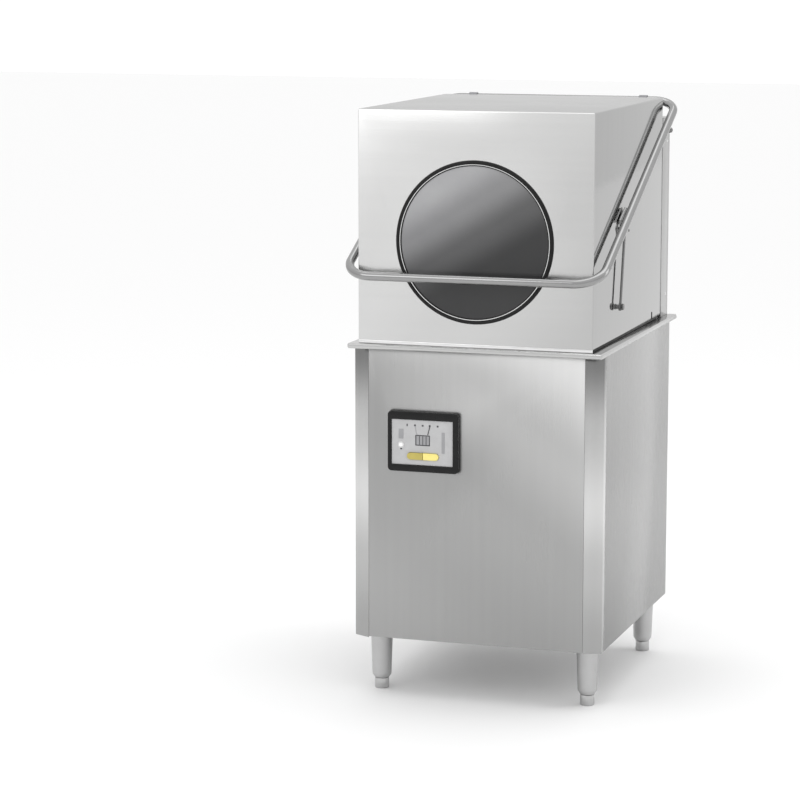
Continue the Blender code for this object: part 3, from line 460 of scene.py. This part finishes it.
def cap_screw(name, centre, axis, radius=0.0045, height=0.0025):
    """Low domed screw head standing on a face; its axis points out of the face."""
    dome = [(0, 0), (radius, 0), (radius, height * 0.4), (radius * 0.8, height * 0.85),
            (radius * 0.35, height),
            (radius * 0.30, height * 0.6), (0, height * 0.6)]
    obj = turned(name, dome, "Z", segments=24)
    turn = Vector((0, 0, 1)).rotation_difference(Vector(axis)).to_matrix().to_4x4()
    obj.data.transform(Matrix.Translation(centre) @ turn)
    return obj


def side_range(side, low, high):
    return (low, high) if side > 0 else (-high, -low)


# ---- cabinet ---------------------------------------------------------------------
def dress_cabinet():
    sheets = {
        "front_panel": ("panel", 0.0012), "rear_panel": ("panel", 0.0008),
        "corner_post_left": ("post", 0.0007), "corner_post_right": ("post", 0.0007),
        "side_panel_left": ("side", 0.0007), "side_panel_right": ("side", 0.0007),
        "docking_rim": ("rim", 0.0010), "chassis_tray": ("frame", 0.0006),
        "rear_column_left": ("frame", 0.0008), "rear_column_right": ("frame", 0.0008),
        "top_bridge": ("frame", 0.0008), "chamber_back": ("inner", 0.0006),
        "rack_rail_front": ("inner", 0.0006), "rack_rail_rear": ("inner", 0.0006),
        "wash_tank": ("inner", 0.0006), "heating_element": ("dark", 0.0),
        "wash_manifold": ("inner", 0.0), "drain_pipe": ("grey", 0.0), "pump_housing": ("grey", 0.0008),
        "pump_motor": ("paint", 0.0), "rinse_boiler": ("frame", 0.0), "water_inlet": ("brass", 0.0003),
        "control_housing": ("grey", 0.0015), "strut_cylinder_left": ("paint", 0.0004),
        "strut_cylinder_right": ("paint", 0.0004), "pivot_bearing_left": ("grey", 0.0010),
        "pivot_bearing_right": ("grey", 0.0010),
    }
    for node, (material, width) in sheets.items():
        finish_piece(softened(node, node + "_detail", width), "cabinet", material, [node])


def build_legs():
    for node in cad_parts:
        if not node.startswith("leg_"):
            continue
        spot = node[len("leg_"):]
        low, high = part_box(node)
        centre = ((low.x + high.x) / 2, (low.y + high.y) / 2, 0)
        top = high.z
        wide = (high.x - low.x) / 2
        leg = [(0, top), (wide, top), (wide, top - 0.004), (wide - 0.0010, top - 0.006), (0.0241, 0.0400),
               (0.0236, 0.0360), (0.0185, 0.0280), (0.0085, 0.0275), (0.0085, 0.1000), (0, 0.1000)]
        finish_piece(turned(f"leg_{spot}_detail", leg, centre=centre), "cabinet", "leg", [node])
        foot = [(0, 0), (0.0158, 0), (0.0170, 0.0006), (0.0178, 0.0022), (0.0178, 0.0250), (0.0172, 0.0262),
                (0.0080, 0.0265), (0.0080, 0.0960), (0, 0.0960)]
        screw_foot = turned(f"foot_{spot}_detail", foot, centre=centre)
        finish_piece(screw_foot, f"foot_{spot}", "leg", [f"foot_{spot}"])


def build_seals_and_gap_shadows():
    """Black rubber lip seal that the hood's side edges close on, which also paints that gap as shadow, and a
    black strip along the rear gap as painted shadow.
    """
    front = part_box("hood_side_right")[0].y
    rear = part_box("hood_side_right")[1].y
    for name, side in SIDES:
        # black rubber strip under each side edge of the hood: a seal that also paints the gap there as
        # shadow
        x_low, x_high = side_range(side, 0.2840, 0.2930)
        strip = box_piece(f"side_seal_shadow_{name}", (x_low, front + 0.02, 0.8884),
                          (x_high, rear - 0.02, 0.8965), 0.0015)
        finish_piece(strip, "cabinet", "rubber")
        # black strip standing in the gap behind the hood's rear edge: painted shadow
        x_low, x_high = side_range(side, 0.2820, 0.2900)
        gap = box_piece(f"rear_gap_shadow_{name}", (x_low, rear + 0.0030, 0.8890),
                        (x_high, rear + 0.0120, 1.4000), 0.0015)
        finish_piece(gap, "cabinet", "rubber")


def build_rear_fittings():
    for name, side in SIDES:
        low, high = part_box(f"rear_column_{name}")
        face = side * max(abs(low.x), abs(high.x))
        axis = (side, 0, 0)
        stud = cap_screw(f"column_stud_{name}", (face, 0.403, 1.372), axis, 0.0075, 0.010)
        finish_piece(stud, "cabinet", "dark")
        for k, z in enumerate((0.945, 1.345)):
            screw = cap_screw(f"column_screw_{name}_{k}", (face, 0.385, z), axis, 0.0035, 0.0015)
            finish_piece(screw, "cabinet", "trim")


def build_strainer():
    """Lift-out pan with a square mesh."""
    low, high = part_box("strainer_pan")
    bm = bmesh.new()
    bmesh.ops.create_grid(bm, x_segments=MESH_CELLS, y_segments=MESH_CELLS, size=0.5)
    half_x = 0.2370
    bmesh.ops.scale(bm, vec=(2 * half_x, high.y - low.y - 0.004, 1), verts=bm.verts)
    bmesh.ops.translate(bm, vec=(0, (low.y + high.y) / 2, low.z + 0.0008), verts=bm.verts)
    holes = ((0.0, -0.045, 0.020), (0.170, 0.120, 0.027))
    gone = [f for f in bm.faces
            if any((f.calc_center_median().xy - Vector((x, y))).length < r for x, y, r in holes)]
    bmesh.ops.delete(bm, geom=gone, context="FACES")
    walls = bm.faces[:]
    bmesh.ops.inset_individual(bm, faces=walls, thickness=MESH_RIB)
    bmesh.ops.delete(bm, geom=walls, context="FACES_ONLY")
    grown = bmesh.ops.extrude_face_region(bm, geom=bm.faces[:])
    moved = [v for v in grown["geom"] if isinstance(v, bmesh.types.BMVert)]
    bmesh.ops.translate(bm, vec=(0, 0, MESH_THICK), verts=moved)
    mesh_piece = object_from(bm, "strainer_mesh")
    finish_piece(mesh_piece, "cabinet", "inner", ["strainer_pan"])
    middle = (low.y + high.y) / 2
    depth = (high.y - low.y) / 2
    for name, side in SIDES:
        outline = [(0.2385, low.z), (0.2385, high.z - 0.0018), (0.2560, high.z - 0.0018), (0.2560, high.z),
                   (0.2368, high.z), (0.2368, low.z)]
        outline = [(side * x, -z) for x, z in outline]
        bm = bmesh.new()
        face = bm.faces.new([bm.verts.new((x, middle - depth, -z)) for x, z in outline])
        grown = bmesh.ops.extrude_face_region(bm, geom=[face])
        moved = [v for v in grown["geom"] if isinstance(v, bmesh.types.BMVert)]
        bmesh.ops.translate(bm, vec=(0, 2 * depth, 0), verts=moved)
        finish_piece(object_from(bm, f"strainer_lip_{name}"), "cabinet", "inner")


# ---- controls ---------------------------------------------------------------------
def build_bezel():
    low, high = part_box("control_bezel")
    plate_low, plate_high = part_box("control_membrane")
    gap = 0.0002
    outer = rounded_rectangle(low.x, high.x, low.z, high.z, 0.010)
    hole = rounded_rectangle(plate_low.x - gap, plate_high.x + gap,
                             plate_low.z - gap, plate_high.z + gap, 0.0012, 3)
    bezel = plate("bezel_detail", [outer, hole], "Y", low.y, high.y, 0.0018)
    finish_piece(bezel, "cabinet", "bezel", ["control_bezel"])
    membrane = softened("control_membrane", "membrane_detail", 0.0003)
    finish_piece(membrane, "cabinet", "membrane", ["control_membrane"])


def print_plate(name, outlines, face, material):
    """Raised ink on the membrane, whose front is at y = face."""
    ink = plate(name, outlines, "Y", face - PRINT_THICK, face - PRINT_GAP)
    finish_piece(ink, "cabinet", material)


def mark(name, x_low, x_high, z_low, z_high, face, material="print", radius=0.0006):
    outline = rounded_rectangle(x_low, x_high, z_low, z_high, radius, 3)
    print_plate(name, [outline], face, material)


def print_scale(face):
    for k, (x, tall) in enumerate(zip(SCALE_MARKS_X, SCALE_MARKS_TALL)):
        wide = 0.0014 if k == 0 else 0.0022
        mark(f"scale_mark_{k}", x - wide, x + wide, SCALE_Z - tall / 2, SCALE_Z + tall / 2, face)


def print_rack_symbol(face):
    """A rack drawn as a frame with upright bars."""
    x_low, x_high = RACK_SYMBOL_X
    z_low, z_high = RACK_SYMBOL_Z
    outer = rounded_rectangle(x_low, x_high, z_low, z_high, 0.0012, 3)
    inner = rounded_rectangle(x_low + 0.0028, x_high - 0.0022, z_low + 0.0026, z_high - 0.0022, 0.0008, 3)
    print_plate("rack_symbol", [outer, inner], face, "print")
    mark("rack_symbol_fill", x_low + 0.0029, x_high - 0.0023, z_low + 0.0027, z_high - 0.0023,
         face, "print_grey")
    for k in range(3):
        x = x_low + 0.0100 + 0.0085 * k
        outline = rounded_rectangle(x, x + 0.0016, z_low + 0.0030, z_high - 0.0026, 0.0004, 3)
        bar = plate(f"rack_symbol_bar_{k}", [outline], "Y", face - 2 * PRINT_THICK,
                    face - PRINT_THICK - PRINT_GAP)
        finish_piece(bar, "cabinet", "print")


def print_pointers(face):
    """Lines from two of the scale's marks down to the rack symbol."""
    top, bottom = POINTER_Z
    for k, (x_top, x_low) in enumerate(((-0.1508, -0.1465), (-0.1131, -0.1180))):
        half = 0.0008 if k == 0 else 0.0012
        line = [(x_top - half, top), (x_low - half, bottom), (x_low + half, bottom), (x_top + half, top)]
        print_plate(f"pointer_line_{k}", [line], face, "print_grey" if k == 0 else "print")
    mark("level_bar_left", -0.1928, -0.1806, 0.6560, 0.6800, face, "print_grey")
    mark("level_bar_right", -0.0825, -0.0745, 0.6240, 0.6760, face, "print_grey")


def build_start_button(face):
    low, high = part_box("start_button")
    spot = ((low.x + high.x) / 2, 0, (low.z + high.z) / 2)
    radius = (high.x - low.x) / 2
    cap = [(0, low.y), (radius * 0.6, low.y + 0.0002), (radius * 0.9, low.y + 0.0010),
           (radius, low.y + 0.0022), (radius, low.y + 0.0055), (0.0035, low.y + 0.0056),
           (0.0035, high.y), (0, high.y)]
    button = turned("start_button_cap", cap, "Y", spot, 48)
    finish_piece(button, "start_button", "white", ["start_button"])
    collar = [(radius + 0.0006, face - 0.0008), (radius + 0.0020, face - 0.0008),
              (radius + 0.0022, face - 0.0001), (radius + 0.0006, face - 0.0001)]
    finish_piece(turned("start_button_collar", collar, "Y", spot, 48), "cabinet", "trim")
    mark("start_button_sign", spot[0] - 0.0022, spot[0] + 0.0026,
         spot[2] - radius - 0.0060, spot[2] - radius - 0.0026, face)


def build_controls():
    build_bezel()
    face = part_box("control_membrane")[0].y
    print_scale(face)
    print_rack_symbol(face)
    print_pointers(face)
    build_start_button(face)
    for side, colour in (("left", "olive"), ("right", "yellow")):
        node = f"cycle_button_{side}"
        finish_piece(softened(node, f"cycle_cap_{side}", 0.0006), node, colour, [node])


# ---- hood --------------------------------------------------------------------------
def folded_shell(low, high):
    """Thin box open below and behind, with rounded folds."""
    bm = bmesh.new()
    bmesh.ops.create_cube(bm, size=1.0)
    bmesh.ops.scale(bm, vec=[b - a for a, b in zip(low, high)], verts=bm.verts)
    bmesh.ops.translate(bm, vec=[(a + b) / 2 for a, b in zip(low, high)], verts=bm.verts)
    open_faces = [f for f in bm.faces if f.normal.z < -0.5 or f.normal.y > 0.5]
    bmesh.ops.delete(bm, geom=open_faces, context="FACES")
    folds = [e for e in bm.edges if len(e.link_faces) == 2]
    bmesh.ops.bevel(bm, geom=folds, offset=HOOD_FOLD, segments=4, profile=0.5, affect="EDGES")
    return object_from(bm, "hood_shell", 50)


def thicken_and_pierce(shell):
    """Gives the shell its sheet thickness and cuts the window's round hole."""
    solid = shell.modifiers.new("sheet", "SOLIDIFY")
    solid.thickness = HOOD_SHEET
    solid.offset = -1
    disc = [(0, -0.40), (WINDOW_HOLE_RADIUS, -0.40), (WINDOW_HOLE_RADIUS, -0.33), (0, -0.33)]
    hole = turned("hole_guide", disc, "Y", (0, 0, WINDOW_Z), 96)
    hole.hide_render = True
    cutter = shell.modifiers.new("window", "BOOLEAN")
    cutter.operation = "DIFFERENCE"
    cutter.solver = "EXACT"
    cutter.object = hole
    bpy.context.view_layer.update()
    graph = bpy.context.evaluated_depsgraph_get()
    mesh = bpy.data.meshes.new_from_object(shell.evaluated_get(graph))
    shell.modifiers.clear()
    shell.data = mesh
    bpy.data.objects.remove(hole, do_unlink=True)
    mesh.shade_smooth()
    mesh.set_sharp_from_angle(angle=math.radians(50))


def paint_shell(shell):
    """Gives the front, the sides and the top each their own steel tone by which way each face points:
    painted light and shade on one sheet.
    """
    shell.data.materials.clear()
    for key in ("hood_front", "hood_side", "hood_top"):
        shell.data.materials.append(MAT[key])
    for polygon in shell.data.polygons:
        polygon.material_index = 2 if polygon.normal.z > 0.7 else (1 if abs(polygon.normal.x) > 0.7 else 0)


def build_hood():
    front_low, front_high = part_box("hood_front")
    side_low, side_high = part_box("hood_side_right")
    top_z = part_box("hood_top")[1].z
    half = front_high.x
    shell = folded_shell((-half, front_low.y, side_low.z), (half, side_high.y, top_z))
    thicken_and_pierce(shell)
    paint_shell(shell)
    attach(shell, "hood")
    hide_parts("hood_front", "hood_top", "hood_side_left", "hood_side_right")
    # the front's lower hem in the brighter trim steel: a painted highlight along the hood's lower front edge
    hem = box_piece("front_hem_highlight", (-half + 0.0002, front_low.y, front_low.z),
                    (half - 0.0002, front_low.y + 0.0045, side_low.z + 0.0004), 0.0016, 3)
    finish_piece(hem, "hood", "trim")
    for name, side in SIDES:
        build_hood_side(name, side, half, front_low.y, side_high.y, side_low.z, top_z)


def build_hood_side(name, side, half, front_y, rear_y, low_z, top_z):
    """Folded hems, a painted gap shadow, rivet, stud and carriage of one side of the hood."""
    x_low, x_high = side_range(side, half - 0.0035, half - HOOD_SHEET + 0.0002)
    hem = box_piece(f"side_hem_{name}", (x_low, front_y + 0.006, low_z),
                    (x_high, rear_y - 0.0015, low_z + 0.012), 0.0010)
    finish_piece(hem, "hood", "hood_side")
    x_low, x_high = side_range(side, 0.2600, half - 0.0006)
    fold = box_piece(f"rear_fold_{name}", (x_low, rear_y - HOOD_SHEET, low_z),
                     (x_high, rear_y, top_z - 0.002), 0.0004)
    finish_piece(fold, "hood", "hood_side")
    # black block across the side's lower edge near its rear: painted shadow of a gap line
    x_low, x_high = side_range(side, half - 0.0005, half + 0.0012)
    tick = box_piece(f"gap_shadow_tick_{name}", (x_low, 0.2365, low_z - 0.002),
                     (x_high, 0.2405, low_z + 0.017), 0.0005)
    finish_piece(tick, "hood", "rubber")
    rivet = cap_screw(f"side_rivet_{name}", (side * half, *RIVET), (side, 0, 0), 0.0036, 0.0016)
    finish_piece(rivet, "hood", "dark")
    link_stud(name, side, half)
    node = f"hood_carriage_{name}"
    finish_piece(softened(node, f"carriage_{name}_detail", 0.0008), "hood", "dark", [node])


def link_stud(name, side, half):
    profile = [(0, half - 0.0005), (0.0070, half - 0.0005), (0.0070, half + 0.0020),
               (0.0055, half + 0.0032),
               (0.0055, 0.3040), (0.0040, 0.3044), (0.0040, 0.3116), (0.0072, 0.3118), (0.0078, 0.3130),
               (0.0078, 0.3160), (0.0060, 0.3174), (0, 0.3175)]
    points = [(r, side * x) for r, x in profile]
    finish_piece(turned(f"link_stud_{name}", points, "X", (0, *LINK_LOW), 32), "hood", "dark")


def build_window():
    low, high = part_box("window_gasket")
    radius = (high.x - low.x) / 2
    centre = (0, 0, WINDOW_Z)
    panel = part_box("hood_front")[0].y
    bead = GASKET_BEAD
    middle = radius - bead
    outer = [(middle + bead * math.cos(math.radians(a)), panel - 0.0003 - 0.0046 * math.sin(math.radians(a)))
             for a in range(0, 181, 15)]
    foot = [(middle - bead, panel + 0.0030), (middle - 0.0006, panel + 0.0030),
            (middle - 0.0006, panel - 0.0003)]
    finish_piece(turned("gasket_bead", outer + foot, "Y", centre, 128), "hood", "rubber", ["window_gasket"])
    ring_out = radius - 2 * bead + 0.0004
    trim = [(ring_out - 0.0020, panel - 0.0032), (ring_out - 0.0004, panel - 0.0032),
            (ring_out, panel - 0.0024), (ring_out, panel + 0.0010),
            (ring_out - 0.0024, panel + 0.0010), (ring_out - 0.0024, panel - 0.0024)]
    finish_piece(turned("gasket_trim_ring", trim, "Y", centre, 128), "hood", "trim")
    lip = [(ring_out - 0.0046, panel - 0.0020), (ring_out - 0.0028, panel - 0.0024),
           (ring_out - 0.0026, panel + 0.0010), (ring_out - 0.0048, panel + 0.0010)]
    finish_piece(turned("gasket_inner_lip", lip, "Y", centre, 128), "hood", "rubber")
    pane_radius = ring_out - 0.0030
    dome = [(pane_radius * k / 16, panel - 0.0006 - PANE_RISE * (1 - (k / 16) ** 2)) for k in range(17)]
    back = [(pane_radius, panel + 0.0026), (0, panel + 0.0026)]
    finish_piece(turned("window_pane", dome + back, "Y", centre, 128), "hood", "glass", ["window_glass"])


# ---- handle and links --------------------------------------------------------------
def on_handle(along, above):
    return (PIVOT[0] - along * math.cos(SLOPE) - above * math.sin(SLOPE),
            PIVOT[1] - along * math.sin(SLOPE) + above * math.cos(SLOPE))


def build_handle():
    corners = [(-HANDLE_HALF_X, *HANDLE_FRONT), (HANDLE_HALF_X, *HANDLE_FRONT),
               (HANDLE_HALF_X, *PIVOT), (-HANDLE_HALF_X, *PIVOT)]
    path = rounded_path(corners, HANDLE_BENDS, closed=True)
    tube = swept("handle_tube", path, HANDLE_TUBE_RADIUS, closed=True)
    finish_piece(tube, "handle", "tube", ["handle_bar"])
    edge = LUG_EDGE
    for name, side in SIDES:
        x_low, x_high = side_range(side, *LUG_X)
        outer = (arc(SLOT_ALONG[0], SLOT_ABOVE[0], edge, 180, 270)
                 + arc(SLOT_ALONG[1], SLOT_ABOVE[0], edge, 270, 360)
                 + [(SLOT_ALONG[1] + edge, -0.0040), (SLOT_ALONG[0] - edge, -0.0040)])
        hole = rounded_rectangle(*SLOT_ALONG, *SLOT_ABOVE, 0.0030, 4)
        outlines = [[on_handle(*p) for p in outline] for outline in (outer, hole)]
        finish_piece(plate(f"lug_{name}", outlines, "X", x_low, x_high, 0.0005), "handle", "tube")
        x_low, x_high = side_range(side, LUG_X[1] - 0.0008, HANDLE_HALF_X - 0.0040)
        block = [(SLOT_ALONG[0] - edge + 0.002, -0.0118), (SLOT_ALONG[1] + edge - 0.002, -0.0118),
                 (SLOT_ALONG[1] + edge - 0.002, -0.0048), (SLOT_ALONG[0] - edge + 0.002, -0.0048)]
        weld = plate(f"lug_weld_{name}", [[on_handle(*p) for p in block]], "X", x_low, x_high, 0.0004)
        finish_piece(weld, "handle", "tube")


def build_links():
    for name, side in SIDES:
        x = side * LINK_X
        low = Vector((x, *LINK_LOW))
        high = Vector((x, *LINK_HIGH))
        along = (high - low).normalized()
        body = f"link_{name}"
        rod = swept(f"link_rod_{name}", [low + along * 0.0080, high - along * 0.0070],
                    LINK_ROD_RADIUS)
        finish_piece(rod, body, "dark", [body])
        x_low, x_high = side_range(side, *LINK_EYE_X)
        eye = [(0.0044, x_low), (0.0044, x_high), (0.0095, x_high), (0.0095, x_low)]
        finish_piece(turned(f"link_eye_{name}", eye, "X", (0, *LINK_LOW), 40), body, "dark")
        pin = [(0, 0.2963), (0.0053, 0.2963), (0.0055, 0.2967), (0.0055, 0.2983),
               (0.0040, 0.2983), (0.0040, 0.3050), (0.0085, 0.3050), (0.0085, 0.3110), (0, 0.3110)]
        pin = [(r, side * h) for r, h in pin]
        finish_piece(turned(f"link_pin_{name}", pin, "X", (0, *LINK_HIGH), 40), body, "dark")


# ---- inside ------------------------------------------------------------------------
def build_spray_arms():
    """Hollow arms with a row of nozzles on the side that faces the rack."""
    for node, nozzles, up in (("wash_arm_lower", 5, 1), ("rinse_arm_lower", 6, 1),
                              ("rinse_arm_upper", 6, -1), ("wash_arm_upper", 5, -1)):
        body = node
        finish_piece(softened(node, node + "_detail", 0.0015), body, "inner", [node])
        low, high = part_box(node)
        middle = (low.y + high.y) / 2
        bar = 0.0012
        face = high.z - bar if up > 0 else low.z + bar
        step = (high.x - 0.045) / nozzles
        for side in (-1, 1):
            for k in range(nozzles):
                spot = (side * (0.045 + step * k), middle, face)
                name = f"{node}_nozzle_{'n' if side < 0 else 'p'}{k}"
                finish_piece(cap_screw(name, spot, (0, 0, up), 0.0045, bar * 0.9), body, "dark")


def dress_inside():
    impeller = softened("pump_impeller", "impeller_detail", 0.0)
    finish_piece(impeller, "pump_impeller", "grey", ["pump_impeller"])
    low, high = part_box("standpipe")
    centre = ((low.x + high.x) / 2, (low.y + high.y) / 2, 0)
    pipe = [(0.0160, low.z), (0.0182, low.z), (0.0182, high.z - 0.004), (0.0178, high.z), (0.0164, high.z),
            (0.0160, high.z - 0.002)]
    overflow = turned("standpipe_detail", pipe, centre=centre, segments=48)
    finish_piece(overflow, "standpipe", "grey", ["standpipe"])


# ---- studio -------------------------------------------------------------------------
def build_floor():
    mat, tree, shader = new_material("pale_floor", (0.93, 0.93, 0.93), 0.0, 0.9)
    shader.inputs["Specular IOR Level"].default_value = 0.1
    bm = bmesh.new()
    bmesh.ops.create_grid(bm, x_segments=2, y_segments=2, size=FLOOR_HALF)
    floor = object_from(bm, "floor")
    floor.data.materials.append(mat)


def area_light(name, place, aim, size, power):
    data = bpy.data.lights.new(name, "AREA")
    data.shape = "RECTANGLE"
    data.size, data.size_y = size
    data.energy = power
    lamp = bpy.data.objects.new(name, data)
    lamp.location = place
    lamp.rotation_euler = (Vector(aim) - Vector(place)).to_track_quat("-Z", "Y").to_euler()
    lamp.visible_camera = False
    bpy.context.scene.collection.objects.link(lamp)


def build_world():
    """White to the camera; to the steel, bright above and dimmer low down."""
    world = bpy.data.worlds.new("studio")
    world.use_nodes = True
    bpy.context.scene.world = world
    tree = world.node_tree
    shade = tree.nodes["Background"]
    coords = tree.nodes.new("ShaderNodeTexCoord")
    split = tree.nodes.new("ShaderNodeSeparateXYZ")
    tree.links.new(coords.outputs["Generated"], split.inputs["Vector"])
    height = map_range(tree, split.outputs["Z"], WORLD_LOW, WORLD_HIGH, -0.25, 0.85)
    tree.links.new(height, shade.inputs["Strength"])
    shade.inputs["Color"].default_value = (1, 1, 1, 1)
    white = tree.nodes.new("ShaderNodeBackground")
    white.inputs["Color"].default_value = (1, 1, 1, 1)
    white.inputs["Strength"].default_value = 1.1
    path = tree.nodes.new("ShaderNodeLightPath")
    mix = tree.nodes.new("ShaderNodeMixShader")
    tree.links.new(path.outputs["Is Camera Ray"], mix.inputs["Fac"])
    tree.links.new(shade.outputs["Background"], mix.inputs[1])
    tree.links.new(white.outputs["Background"], mix.inputs[2])
    tree.links.new(mix.outputs["Shader"], tree.nodes["World Output"].inputs["Surface"])


def build_light():
    build_world()
    area_light("key", (-2.2, -4.2, 3.2), (0, 0, 0.9), (2.6, 2.2), KEY_POWER)
    area_light("top", (0.2, 0.2, 4.0), (0, 0, 0.8), (3.0, 3.0), TOP_POWER)
    area_light("right", (3.2, 1.2, 2.0), (0, 0, 0.9), (1.2, 2.4), RIGHT_POWER)


def build_camera():
    data = bpy.data.cameras.new("camera")
    data.lens = CAMERA_LENS
    data.sensor_width = 36.0
    camera = bpy.data.objects.new("camera", data)
    camera.location = CAMERA_PLACE
    level = math.cos(CAMERA_PITCH)
    ahead = Vector((-math.sin(CAMERA_AZIMUTH) * level, math.cos(CAMERA_AZIMUTH) * level,
                    -math.sin(CAMERA_PITCH)))
    camera.rotation_euler = ahead.to_track_quat("-Z", "Y").to_euler()
    bpy.context.scene.collection.objects.link(camera)
    bpy.context.scene.camera = camera


bpy.context.scene.view_settings.view_transform = "Standard"
build_camera()
dress_cabinet()
build_legs()
build_seals_and_gap_shadows()
build_rear_fittings()
build_strainer()
build_controls()
build_hood()
build_window()
build_handle()
build_links()
build_spray_arms()
dress_inside()
build_floor()
build_light()
